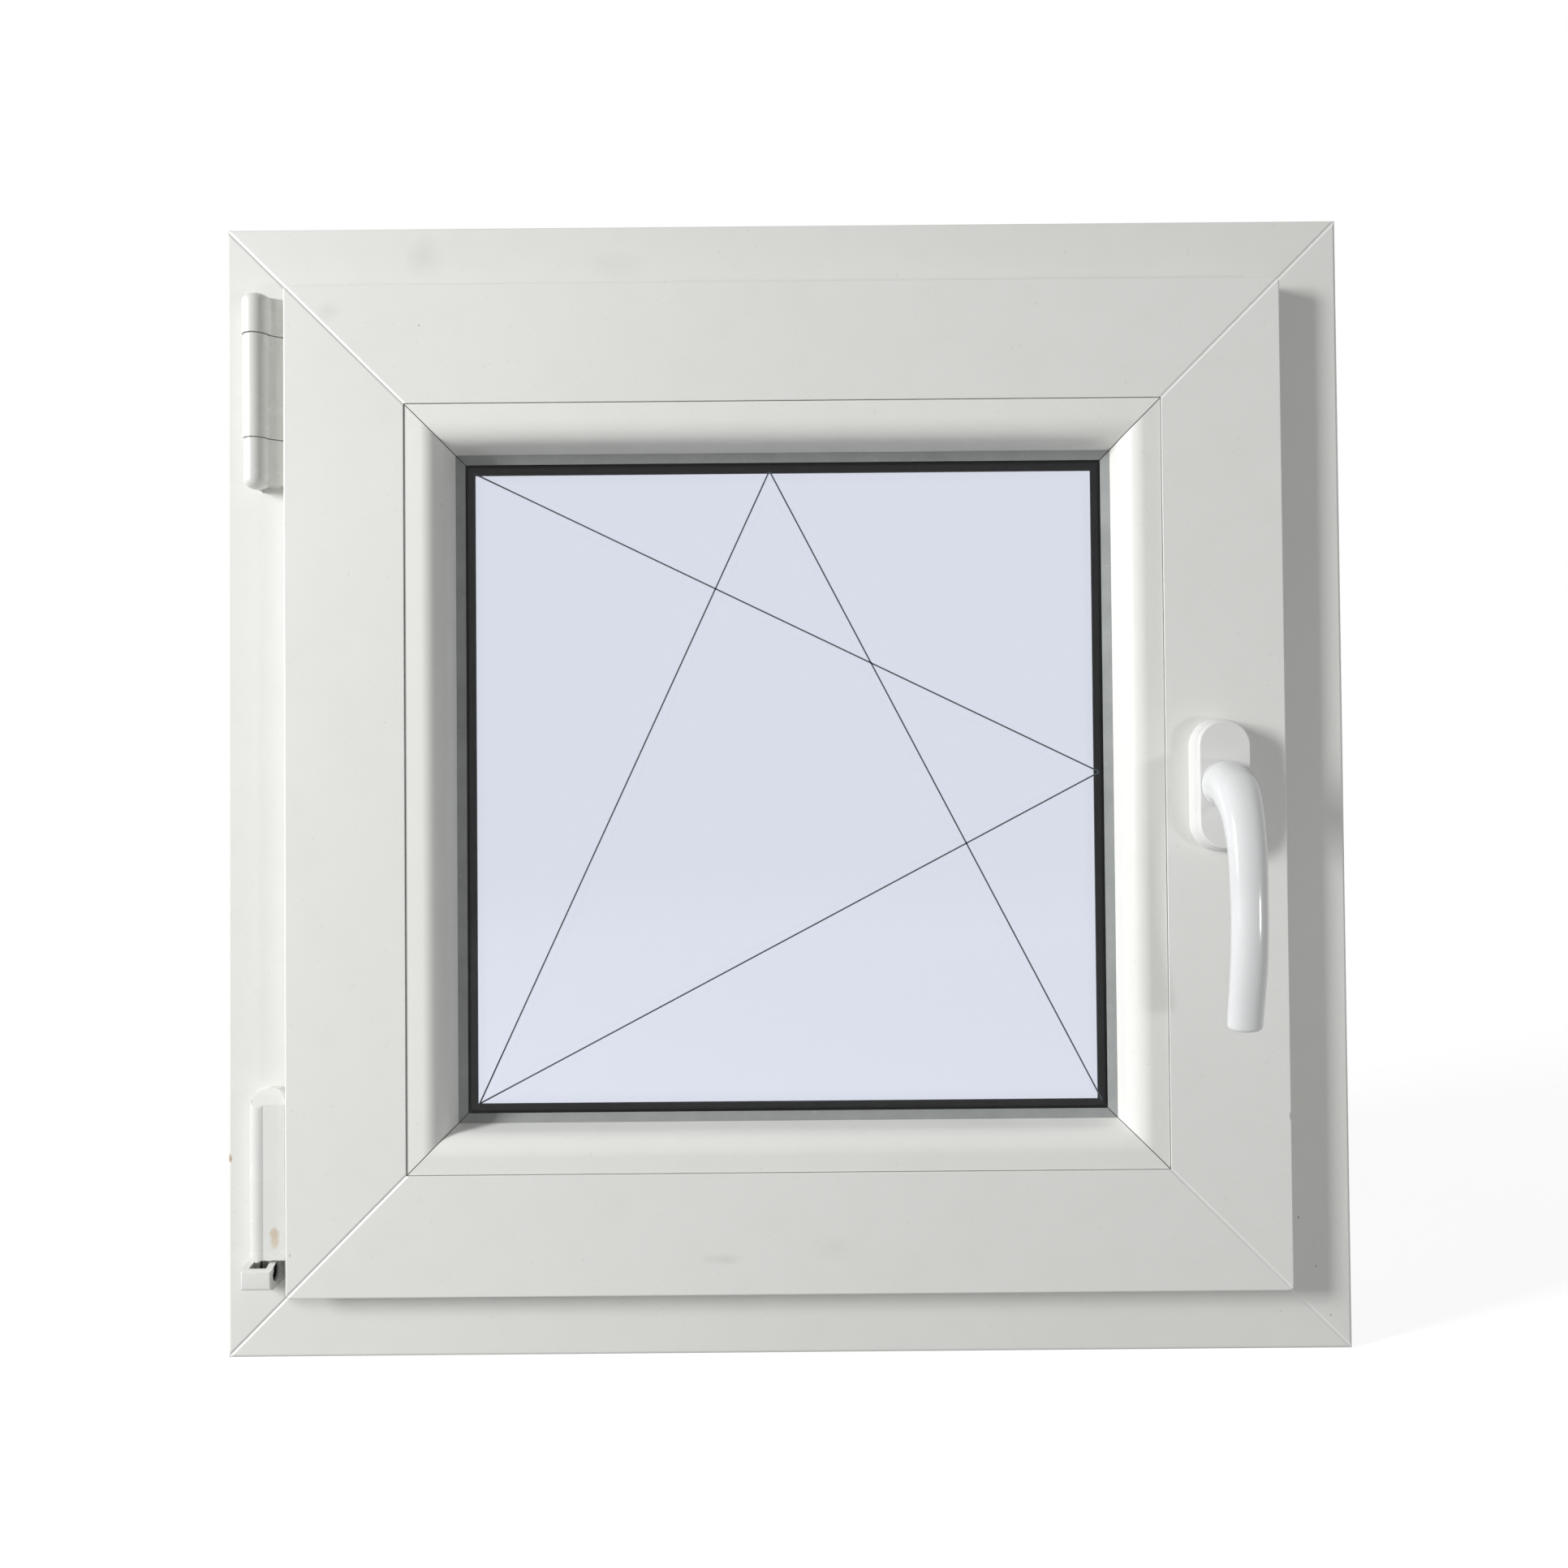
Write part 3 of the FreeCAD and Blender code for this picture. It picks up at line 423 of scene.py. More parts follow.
def hinge_leaf(low, high, radius, dome_at, around):
    """A hinge leaf. In plan it is the outer of a circle and a wing, both as distances from the barrel's axis
    at every angle; the wing's is the least, over its straight sides, of the side's distance over the cosine
    of the angle between them. Over the dome the circle draws in as the root of 1 less a power of the height,
    and the wing's end draws in as a quarter circle at its corners."""
    fitting = fittings()
    dome, corner, soft = fitting.dome_height, fitting.wing_corner, sizes().small_radius
    edge = SASH_LOW[0] - fitting.side_gap - HINGE_X
    root = HINGE_Y - FRAME_ROOM + fitting.wing_root
    slope = np.array([fitting.wing_root - fitting.wing_edge, fitting.wing_setback - edge])
    slope = slope / np.linalg.norm(slope)
    bottom, top = low + corner * (dome_at == "bottom"), high - corner * (dome_at == "top")
    quarter = np.linspace(0, math.pi / 2, 9)
    drawn = corner * (1 - np.cos(quarter))
    level = np.unique(np.concatenate([bottom + drawn, top - drawn,
                                      np.linspace(bottom + corner, top - corner, 5)]).round(9))
    free = np.clip(corner - np.minimum(level - bottom, top - level), 0, corner)
    rows = np.stack([level, 0 * level, edge - corner + np.sqrt(corner ** 2 - free ** 2)], axis=1)

    def past(row, out):
        """Rows of level, inset and wing reach past one end: the rest of the dome, or a softened edge."""
        if dome_at == {1: "top", -1: "bottom"}[out]:
            return np.stack([row[0] + out * corner * np.sin(quarter), 0 * quarter, 0 * quarter], axis=1)
        return np.array([[row[0] + out * soft / 2, soft, row[2] - soft]])

    rows = np.concatenate([past(rows[0], -1)[::-1], rows, past(rows[-1], 1)])
    level, inset, reach = rows.T[:, :, None]
    depth = {"top": level - high + dome, "bottom": low + dome - level, "": 0 * level}[dome_at] / dome
    circle = np.maximum(radius * np.sqrt(1 - np.clip(depth, 0, 1) ** DOME_POWER) - inset, POLE_RADIUS)
    angle = np.linspace(0, 2 * math.pi, around, endpoint=False)
    heading = np.stack([np.cos(angle), np.sin(angle)])
    walls = np.array([[0, -1], slope, [0, 1], [-1, 0]]) @ heading
    away = np.array([root, slope @ (fitting.wing_setback, -root), FRAME_ROOM - HINGE_Y, 1e-6])
    sides = np.where(walls > 1e-6, away[:, None] / np.maximum(walls, 1e-6), np.inf).min(axis=0)
    wing = np.minimum(np.where(heading[0] > 1e-6, reach / np.maximum(heading[0], 1e-6), np.inf), sides)
    distance = np.maximum(circle, wing - inset)
    points = np.stack([HINGE_X + distance * heading[0], HINGE_Y + distance * heading[1],
                       np.broadcast_to(level, distance.shape)], axis=-1)
    return points, skin(len(points), around)


def clamped_prism(section, levels, left, right, proud):
    """A section (x, y) carried up through levels. At each level x is held between left and right, and y is
    held behind proud, so the ends close in as arches."""
    x = np.clip(section[:, 0], left[:, None], right[:, None])
    y = np.maximum(section[:, 1], FRAME_ROOM - proud[:, None])
    z = np.broadcast_to(levels[:, None], x.shape)
    return np.stack([x, y, z], axis=-1), skin(len(levels), len(section))


def stadium_stack(centre, height, width, insets, levels, around):
    """Rings with round ends about a centre, each drawn in by an inset at its level of depth. A point at an
    angle lies on the half circle's radius, above or below a straight part."""
    angle = np.linspace(0, 2 * math.pi, around, endpoint=False) + math.pi / around
    radius = width / 2 - np.array(insets)[:, None]
    straight = np.where(np.sin(angle) >= 0, 1, -1) * (height - width) / 2
    x = centre[0] + radius * np.cos(angle)
    z = centre[1] + straight + radius * np.sin(angle)
    y = np.broadcast_to(np.array(levels)[:, None], x.shape)
    return np.stack([x, y, z], axis=-1), skin(len(levels), around)


def smooth_stations(stations, count):
    """Values between stations. Each span is a cubic whose end slopes are half the step between neighbours."""
    stations = np.array(stations)
    slopes = np.gradient(stations, axis=0)
    at = np.linspace(0, len(stations) - 1, count)
    span = np.minimum(at.astype(int), len(stations) - 2)
    t = (at - span)[:, None]
    return ((2 * t ** 3 - 3 * t ** 2 + 1) * stations[span] + (t ** 3 - 2 * t ** 2 + t) * slopes[span]
            + (3 * t ** 2 - 2 * t ** 3) * stations[span + 1] + (t ** 3 - t ** 2) * slopes[span + 1])


def lever_tube(around):
    """The lever: an oval, a little squarer than an ellipse, carried along a path with its own heading, width
    and thickness at each station. The tip closes as a quarter circle."""
    lever = fittings()
    neck, rise = 2 * lever.neck_radius, lever.lever_projection
    rounding = lever.lever_tip_round
    grip = np.array([lever.lever_width, lever.lever_thickness])
    course = [(out * rise, -down * lever.lever_drop, heading, *(neck + np.array(share) * (grip - neck)))
              for out, down, heading, *share in LEVER_COURSE]
    path = smooth_stations([(SASH_ROOM - ROSETTE_LOW[1] + lever.lever_gap, 0, 0, neck, neck), *course,
                            (lever.tip_projection, rounding - lever.lever_drop, TIP_HEADING, lever.tip_width,
                             lever.tip_thickness)], LEVER_RINGS)
    turn = np.linspace(0, math.pi / 2, 9)[1:, None]
    tip = np.repeat(path[-1:], len(turn), axis=0)
    tip[:, 1:2] -= rounding * np.sin(turn)
    tip[:, 0:1] -= rounding * np.sin(turn) * math.tan(math.radians(path[-1, 2] - 90))
    tip[:, 3:] -= 2 * rounding * (1 - np.cos(turn))
    path = np.concatenate([path, tip])
    proud, height, heading, width, thickness = path.T[:, :, None]
    heading = np.radians(heading)
    angle = np.linspace(0, 2 * math.pi, around, endpoint=False)
    out = width / 2 * np.copysign(np.abs(np.cos(angle)) ** OVAL_POWER, np.cos(angle))
    over = thickness / 2 * np.copysign(np.abs(np.sin(angle)) ** OVAL_POWER, np.sin(angle))
    points = np.stack([HANDLE_X + out, SASH_ROOM - proud - np.sin(heading) * over,
                       HANDLE_Z + height + np.cos(heading) * over], axis=-1)
    return points, skin(len(points), around)


def bevelled_copy(name, node, material, **given):
    """A node's solid with its facets joined and its flat faces made whole, as a settled piece."""
    mesh = frame["nodes"][node].data.copy()
    mesh.name = name
    mesh.materials.clear()
    work = bmesh.new()
    work.from_mesh(mesh)
    bmesh.ops.remove_doubles(work, verts=work.verts, dist=1e-6)
    bmesh.ops.dissolve_limit(work, angle_limit=math.radians(1), verts=work.verts, edges=work.edges)
    work.to_mesh(mesh)
    work.free()
    return settle(mesh, material, nodes=[node], **given)


def cut_slots(made, height, weather):
    """Cuts the drain slots through a member's weather face, as sharp edged boxes taken out of its mesh."""
    boxes = bmesh.new()
    for x in DRAIN_PLACES:
        place = Matrix.Translation((x, weather, height)) @ Matrix.Diagonal((*DRAIN_BOX, 1))
        bmesh.ops.create_cube(boxes, size=1, matrix=place)
    mesh = bpy.data.meshes.new("drain_cutter")
    boxes.to_mesh(mesh)
    boxes.free()
    cutter = put("drain_cutter", mesh)
    cut = made.modifiers.new("drains", "BOOLEAN")
    cut.object, cut.operation, cut.solver = cutter, "DIFFERENCE", "EXACT"
    made.modifiers.move(len(made.modifiers) - 1, 0)
    with bpy.context.temp_override(object=made, active_object=made):
        bpy.ops.object.modifier_apply(modifier="drains")
    bpy.data.objects.remove(cutter)


def ribbons(lines, width, level, thickness):
    """Flat strips along straight lines (x, z): each end is the line's end give or take half the width."""
    start, finish = lines[:, 0], lines[:, 1]
    along = finish - start
    along = along / np.linalg.norm(along, axis=1, keepdims=True)
    across = np.stack([-along[:, 1], along[:, 0]], axis=-1) * width / 2
    ends = np.stack([start - across, finish - across, finish + across, start + across], axis=1)
    flat = np.stack([ends[..., 0], np.full(ends.shape[:2], level), ends[..., 1]], axis=-1)
    points = np.stack([flat, flat - (0, thickness, 0)], axis=1)
    sides = [[0, 1, 2, 3], [7, 6, 5, 4], [0, 4, 5, 1], [1, 5, 6, 2], [2, 6, 7, 3], [3, 7, 4, 0]]
    faces = (np.array(sides) + 8 * np.arange(len(lines))[:, None, None]).reshape(-1, 4)
    return points, faces.tolist()


def lower_front_lip(mesh, drop, depth):
    """Lowers a mesh's top corners within a depth of its room side, so the tops of its walls slope down."""
    places = vertices(mesh)
    front, top = places[:, 1].min(), places[:, 2].max()
    lip = (places[:, 1] < front + depth) & (places[:, 2] > top - depth)
    places[lip, 2] -= drop
    mesh.vertices.foreach_set("co", places.ravel())
    mesh.update()


# Materials


def add_node(tree, kind, settings=None, output=0, **inputs):
    """One output of a new shader node with its settings and inputs. An input is a value or another node's
    output, and i0, i1 and so on name inputs by their number."""
    node = tree.nodes.new("ShaderNode" + kind)
    for key, value in (settings or {}).items():
        setattr(node, key, value)
    for key, value in inputs.items():
        socket = node.inputs[int(key[1:])] if key[0] == "i" and key[1:].isdigit() else node.inputs[key]
        if isinstance(value, bpy.types.NodeSocket):
            tree.links.new(value, socket)
        else:
            socket.default_value = value
    return node.outputs[output] if node.outputs else None


def seen_rays(tree):
    """1 for rays from the camera, in gloss or through glass, and 0 for the rest."""
    rays = tree.nodes.new("ShaderNodeLightPath").outputs
    value = rays["Is Camera Ray"]
    for name in ("Is Glossy Ray", "Is Transmission Ray"):
        value = add_node(tree, "Math", {"operation": "MAXIMUM"}, i0=value, i1=rays[name])
    return value


class Recipe:
    """A node material under construction."""

    def __init__(self, name, **constants):
        self.material = bpy.data.materials.new(name)
        self.material.use_nodes = True
        self.tree = self.material.node_tree
        self.shader = self.tree.nodes["Principled BSDF"]
        self.place = self.add("TexCoord", output="Object")
        for key, value in constants.items():
            self.shader.inputs[key.replace("_", " ")].default_value = value

    def add(self, kind, settings=None, output=0, **inputs):
        return add_node(self.tree, kind, settings, output, **inputs)

    def noise(self, scale, detail, stretch=None):
        """Noise from 0 to 1 over the object's own coordinates, with features of about 1 / scale metres."""
        place = self.add("Mapping", Vector=self.place, Scale=stretch) if stretch else self.place
        return self.add("TexNoise", output="Fac", Vector=place, Scale=scale, Detail=detail)

    def ramp(self, value, low, high, start=0.0, finish=1.0):
        """Takes low to high over to start to finish, held at its ends."""
        return self.add("MapRange", i0=value, i1=low, i2=high, i3=start, i4=finish)

    def patches(self, scale, detail, low, high, start=0.0, finish=1.0):
        """Noise through a ramp: clouds where low and high are far apart, specks where they are close."""
        return self.ramp(self.noise(scale, detail), low, high, start, finish)

    def join(self, operation, a, b):
        return self.add("Math", {"operation": operation}, i0=a, i1=b)

    def blend(self, factor, a, b):
        """Colour a where the factor is 0, colour b where it is 1."""
        colours = [value if isinstance(value, bpy.types.NodeSocket) else (*value, 1) for value in (a, b)]
        return self.add("MixRGB", i0=factor, i1=colours[0], i2=colours[1])

    def marked(self, shade, marks):
        """Lays marks over a colour. Each fills an ellipsoid up to a ragged rim, which is softer if faint."""
        for centre, radii, tint, strength in marks:
            soft, rough = (0.95, 0.4) if strength < FAINT else (0.5, 0.25)
            centre, radii = [value * MM for value in centre], [value * MM for value in radii]
            moved = self.add("Mapping", {"vector_type": "TEXTURE"}, Vector=self.place, Location=centre,
                             Scale=radii)
            length = self.add("VectorMath", {"operation": "LENGTH"}, "Value", i0=moved)
            ragged = self.join("ADD", self.patches(0.9 / min(radii), 2, 0, 1, -rough, rough), length)
            mask = self.join("MULTIPLY", self.ramp(ragged, 1, 1 - soft), strength)
            shade = self.blend(mask, shade, tint)
        return shade

    def finish(self, colour, roughness, bump=None, strength=0.0, distance=0.0):
        """Links the surface's colour and roughness, and a height for its bump if there is one."""
        self.tree.links.new(colour, self.shader.inputs["Base Color"])
        self.tree.links.new(roughness, self.shader.inputs["Roughness"])
        if bump is not None:
            normal = self.add("Bump", Strength=strength, Distance=distance, Height=bump)
            self.tree.links.new(normal, self.shader.inputs["Normal"])
        return self.material


def white_plastic(name, colour, marks=(), rough=(0.34, 0.46), grain="x", gloss=0.5):
    """White extruded plastic: faint die lines along its length, dust, cloudy soiling and single marks."""
    recipe = Recipe(name, Specular_IOR_Level=gloss)
    amount, soiling = finishes().soiling_amount, finishes().soiling
    shade = recipe.blend(recipe.patches(9, 4, 0.42, 0.78, 0, 0.10 * amount), colour, soiling)
    shade = recipe.blend(recipe.patches(55, 3, 0.45, 0.8, 0, 0.10 * amount), shade, soiling)
    shade = recipe.blend(recipe.patches(420, 1, 0.74, 0.80, 0, 0.25 * amount), shade,
                         [0.55 * value for value in soiling])
    lines = recipe.noise(900, 2, {"x": (0.02, 1, 1), "z": (1, 1, 0.02)}[grain])
    return recipe.finish(recipe.marked(shade, marks), recipe.patches(30, 4, 0.3, 0.7, *rough), lines, 0.06,
                         0.0001)


def rubber(name, colour, dust=0.5, rough=(0.5, 0.75)):
    """Soft rubber with pale dust in its grain."""
    recipe = Recipe(name)
    pale = [min(1.0, value + 0.35) for value in colour]
    shade = recipe.blend(recipe.patches(70, 4, 0.35, 0.75, 0, 0.25 * dust), colour, pale)
    shade = recipe.blend(recipe.patches(700, 2, 0.68, 0.76, 0, 0.8 * dust), shade, pale)
    return recipe.finish(shade, recipe.patches(60, 3, 0.3, 0.7, *rough), recipe.noise(1500, 2), 0.15, 0.0001)


def metal(name, colour, rough=(0.25, 0.4), scratched=0.3):
    """Plated steel with fine turning lines and dull patches."""
    recipe = Recipe(name, Metallic=1.0)
    shade = recipe.blend(recipe.patches(200, 3, 0.4, 0.75, 0, scratched), colour,
                         [0.6 * value for value in colour])
    return recipe.finish(shade, recipe.patches(300, 3, 0.3, 0.7, *rough), recipe.noise(2500, 2, (1, 1, 0.05)),
                         0.1, 0.00005)


def enamel(name, colour, rough=(0.12, 0.17), coat=0.45, marks=()):
    """Glossy sprayed coat: a slight ripple, faint cloudiness, rare dust and single marks."""
    recipe = Recipe(name, Coat_Weight=coat, Coat_Roughness=0.03)
    shade = recipe.blend(recipe.patches(40, 4, 0.35, 0.75, 0, 0.6), colour,
                         [0.93 * value for value in colour])
    shade = recipe.blend(recipe.patches(500, 1, 0.76, 0.8, 0, 0.3), shade, [0.6 * value for value in colour])
    return recipe.finish(recipe.marked(shade, marks), recipe.patches(60, 3, 0.3, 0.7, *rough),
                         recipe.noise(260, 2), 0.05, 0.0002)


def hinge_plastic(name, colour, marks=()):
    """Satin white of the hinge covers."""
    return enamel(name, colour, (0.2, 0.3), 0.2, marks)


def clear_glass(name, tint):
    """Clear float glass with a tint at each surface, and a trace of dust in its colour and roughness."""
    recipe = Recipe(name, Transmission_Weight=1.0, IOR=1.3)
    shade = recipe.blend(recipe.patches(800, 1, 0.78, 0.82, 0, 0.35), tint, (0.7, 0.72, 0.74))
    return recipe.finish(shade, recipe.patches(25, 3, 0.3, 0.8, 0.0, 0.015))


def dress(node, material):
    """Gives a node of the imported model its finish."""
    slots = frame["nodes"][node].data.materials
    slots.clear()
    slots.append(material)


# Marks seen on the white faces: centre and radii in millimetres, colour and strength
FAINT = 0.3
GREY, BROWN, DARK = (0.42, 0.43, 0.40), (0.30, 0.20, 0.12), (0.10, 0.09, 0.08)
SMEAR = (0.50, 0.48, 0.41)
FRAME_MARKS = {
    "left": [((-298.9, -35, 106.2), (1.8, 8, 3.0), (0.50, 0.42, 0.28), 0.85),
             ((-298.2, -35, 105.6), (0.7, 8, 1.6), BROWN, 0.6)],
    "top": [((-192, -35, 590), (11, 12, 15), SMEAR, 0.22), ((-91, -35, 584), (18, 12, 9), SMEAR, 0.13)],
    "right": [((272, -35, 69.8), (0.8, 8, 0.8), DARK, 0.5), ((288.5, -35, 18), (0.7, 8, 0.7), DARK, 0.5),
              ((281, -35, 44), (0.6, 8, 0.9), DARK, 0.4)],
    "bottom": [((276, -35, 26), (0.6, 8, 0.6), DARK, 0.4), ((262, -35, 20), (0.5, 8, 0.5), DARK, 0.4)],
}
SASH_MARKS = {
    "left": [((-261.4, -49, 58.9), (0.5, 8, 1.1), GREY, 0.8), ((-257.2, -49, 37.8), (0.7, 8, 0.6), GREY, 0.7),
             ((-218, -49, 81.3), (0.5, 8, 0.6), DARK, 0.6)],
    "top": [((-239.6, -49, 556), (8, 12, 7), SMEAR, 0.2), ((-191.9, -49, 547.8), (0.6, 8, 0.5), DARK, 0.6)],
    "right": [((263.1, -49, 127.1), (0.8, 8, 3.0), GREY, 0.7),
              ((219.8, -49, 528.6), (4.5, 8, 0.25), DARK, 0.5)],
    "bottom": [((-35.2, -49, 55), (11, 12, 3.5), SMEAR, 0.28), ((24, -49, 60), (14, 12, 8), SMEAR, 0.12)],
}
BEAD_MARKS = {"top": [((-18.7, -31, 475.8), (1.5, 8, 0.7), DARK, 0.6)]}
HINGE_MARKS = [((-270.5, -46.5, 69.5), (3.0, 8, 4.0), (0.62, 0.52, 0.38), 0.85),
               ((-270.2, -46.5, 65), (2.7, 8, 4.2), (0.66, 0.57, 0.43), 0.8)]


def members(nodes, section, ring, slot, colour, marks, corner=0.0):
    """Four mitred members with weld grooves, one for each side, in their own plastic."""
    return {side: piece(node + "_skin", *mitred_side(section, ring, side, corner, sizes().weld_depth),
                        white_plastic(node + "_plastic", colour, marks[side], grain=GRAIN[side]),
                        slot=slot, nodes=[node], sharp=SHARP_PROFILE)
            for side, node in zip(SIDES, nodes)}


class FrameMembers(Operator):
    """Four mitred frame members with rounded edges, anchor grooves and weld grooves"""

    bl_idname = "window.frame_members"
    bl_label = "Frame Members"

    def execute(self, context):
        size = sizes()
        lip = FRAME_WEATHER - size.lip_thickness
        corners = [(0, FRAME_ROOM, size.frame_radius), (size.frame_leg, FRAME_ROOM, size.frame_radius),
                   (size.frame_leg, lip), (size.frame_reach, lip),
                   (size.frame_reach, FRAME_WEATHER, size.lip_radius), (0, FRAME_WEATHER, size.frame_radius)]
        half = size.anchor_width / 2
        for centre in (size.anchor_offset, -size.anchor_offset):
            corners += [(0, centre + half), (size.anchor_depth, centre + half + size.anchor_flare),
                        (size.anchor_depth, centre - half - size.anchor_flare), (0, centre - half)]
        made = members(("frame_sill", "frame_hinge_jamb", "frame_head", "frame_lock_jamb"),
                       rounded_section(corners), FRAME_SIZE, "frame_plastic", finishes().plastic, FRAME_MARKS)
        cut_slots(made["bottom"], FRAME_LOW[2] + FRAME_DRAIN, FRAME_WEATHER)
        return {"FINISHED"}


class SashMembers(Operator):
    """Four mitred sash members with a lapping flange, round corners and weld grooves"""

    bl_idname = "window.sash_members"
    bl_label = "Sash Members"

    def execute(self, context):
        size = sizes()
        reach = SASH_FACE + size.bead_width
        lip_room = SASH_WEATHER - size.glazing_lip
        flange_back = SASH_ROOM + size.flange_thickness
        corners = [(0, SASH_ROOM, size.sash_radius), (SASH_FACE, SASH_ROOM), (SASH_FACE, lip_room),
                   (reach, lip_room, GLAZING_LIP_EDGE),
                   (reach, SASH_WEATHER - size.glazing_flat, GLAZING_LIP_EDGE),
                   (reach - size.glazing_slope, SASH_WEATHER, GLAZING_LIP_EDGE),
                   (size.flange_width, SASH_WEATHER), (size.flange_width, flange_back), (0, flange_back)]
        made = members(("sash_bottom_rail", "sash_hinge_stile", "sash_top_rail", "sash_lock_stile"),
                       rounded_section(corners), SASH_SIZE, "sash_plastic", finishes().sash_plastic,
                       SASH_MARKS, size.sash_corner)
        cut_slots(made["bottom"], SASH_LOW[2] + size.flange_width + SASH_DRAIN, SASH_WEATHER)
        return {"FINISHED"}


class GlazingBeads(Operator):
    """Four mitred beads with a round shoulder, and the grey gaskets under them"""

    bl_idname = "window.glazing_beads"
    bl_label = "Glazing Beads"

    def execute(self, context):
        size = sizes()
        depth = BEAD_BACK - SASH_ROOM
        lean = depth * math.tan(size.bead_draft)
        bead = rounded_section([(BEAD_GAP, SASH_ROOM + size.bead_slope, BEAD_EDGE),
                                (size.bead_width - lean, SASH_ROOM, size.bead_round),
                                (size.bead_width, BEAD_BACK, BEAD_EDGE), (size.bead_heel, BEAD_BACK),
                                (BEAD_GAP, BEAD_BACK - BEAD_STEP)], 10)
        start, tip = size.bead_width - size.gasket_cover, size.bead_width + size.gasket_reach
        gasket = rounded_section([(start, BEAD_BACK), (size.bead_width, BEAD_BACK),
                                  (tip, GLASS_ROOM - size.gasket_tip, GASKET_TIP_EDGE),
                                  (tip, GLASS_ROOM, GASKET_GLASS_EDGE), (start, GLASS_ROOM)])
        grey = rubber("grey_rubber", finishes().gasket)
        for side, name in zip(SIDES, ("bottom", "hinge_side", "top", "lock_side")):
            white = white_plastic("bead_" + name + "_plastic", finishes().bead_plastic,
                                  BEAD_MARKS.get(side, ()), (0.3, 0.4), GRAIN[side], 0.25)
            for kind, section, material, slot in (("bead_", bead, white, "bead_plastic"),
                                                  ("bead_gasket_", gasket, grey, "grey_gasket")):
                piece(kind + name + "_skin", *mitred_side(section, REBATE_SIZE, side, gap=size.mitre_gap),
                      material, slot=slot, nodes=[kind + name])
        return {"FINISHED"}


class DoubleGlazing(Operator):
    """Finishes of the panes, their edge seal and spacer, the packers and the black seals"""

    bl_idname = "window.double_glazing"
    bl_label = "Double Glazing"

    def execute(self, context):
        glass = clear_glass("float_glass", finishes().glass_tint)
        for node in ("glass_pane_room", "glass_pane_weather"):
            dress(node, glass)
        dress("glass_edge_seal", rubber("edge_sealant", (0.015, 0.017, 0.017), 0.05))
        dress("glass_spacer", rubber("warm_edge_bar", (0.022, 0.027, 0.026), 0.06, (0.35, 0.5)))
        dress("glazing_packers", rubber("packer_plastic", (0.10, 0.14, 0.35), 0.1, (0.35, 0.5)))
        black = rubber("black_rubber", (0.035, 0.042, 0.042), 0.25)
        for node in ("glazing_gasket_weather", "overlap_seal", "weather_seal"):
            dress(node, black)
        return {"FINISHED"}


class OpeningTraces(Operator):
    """Thin lines on the room side of the glass: one pair points to the lock side, one pair to the top"""

    bl_idname = "window.opening_traces"
    bl_label = "Opening Traces"

    def execute(self, context):
        for name, lines in TRACES.items() if finishes().traces else ():
            recipe = Recipe(name + "_trace_ink")
            shade = recipe.blend(recipe.patches(900, 2, 0.3, 0.8), (0.035, 0.050, 0.058),
                                 (0.060, 0.078, 0.088))
            ink = recipe.finish(shade, recipe.patches(200, 3, 0, 1, 0.4, 0.6))
            strips = ribbons(np.array(lines) * MM, finishes().trace_width, GLASS_ROOM, TRACE_THICKNESS)
            piece(name + "_trace", *strips, ink, weighted=False)
        return {"FINISHED"}


class TopHinge(Operator):
    """Cap, sleeve and foot of the top hinge, each a barrel with a sloping wing, on a steel pin"""

    bl_idname = "window.top_hinge"
    bl_label = "Top Hinge"

    def execute(self, context):
        fitting, around = fittings(), stage_settings().shell_segments
        cover = hinge_plastic("hinge_plastic", finishes().hinge_plastic)
        for node, radius, dome_at in (("top_hinge_cap", fitting.barrel_cap, "top"),
                                      ("top_hinge_sleeve", fitting.barrel_sleeve, ""),
                                      ("top_hinge_foot", fitting.barrel_foot, "bottom")):
            low, high = corner_boxes(node)
            piece(node + "_shell", *hinge_leaf(low[2], high[2], radius, dome_at, around), cover,
                  slot="hinge_plastic", nodes=[node], sharp=SHARP_SHELL)
        dress("top_hinge_pin", metal("zinc_steel", (0.62, 0.62, 0.60)))
        return {"FINISHED"}


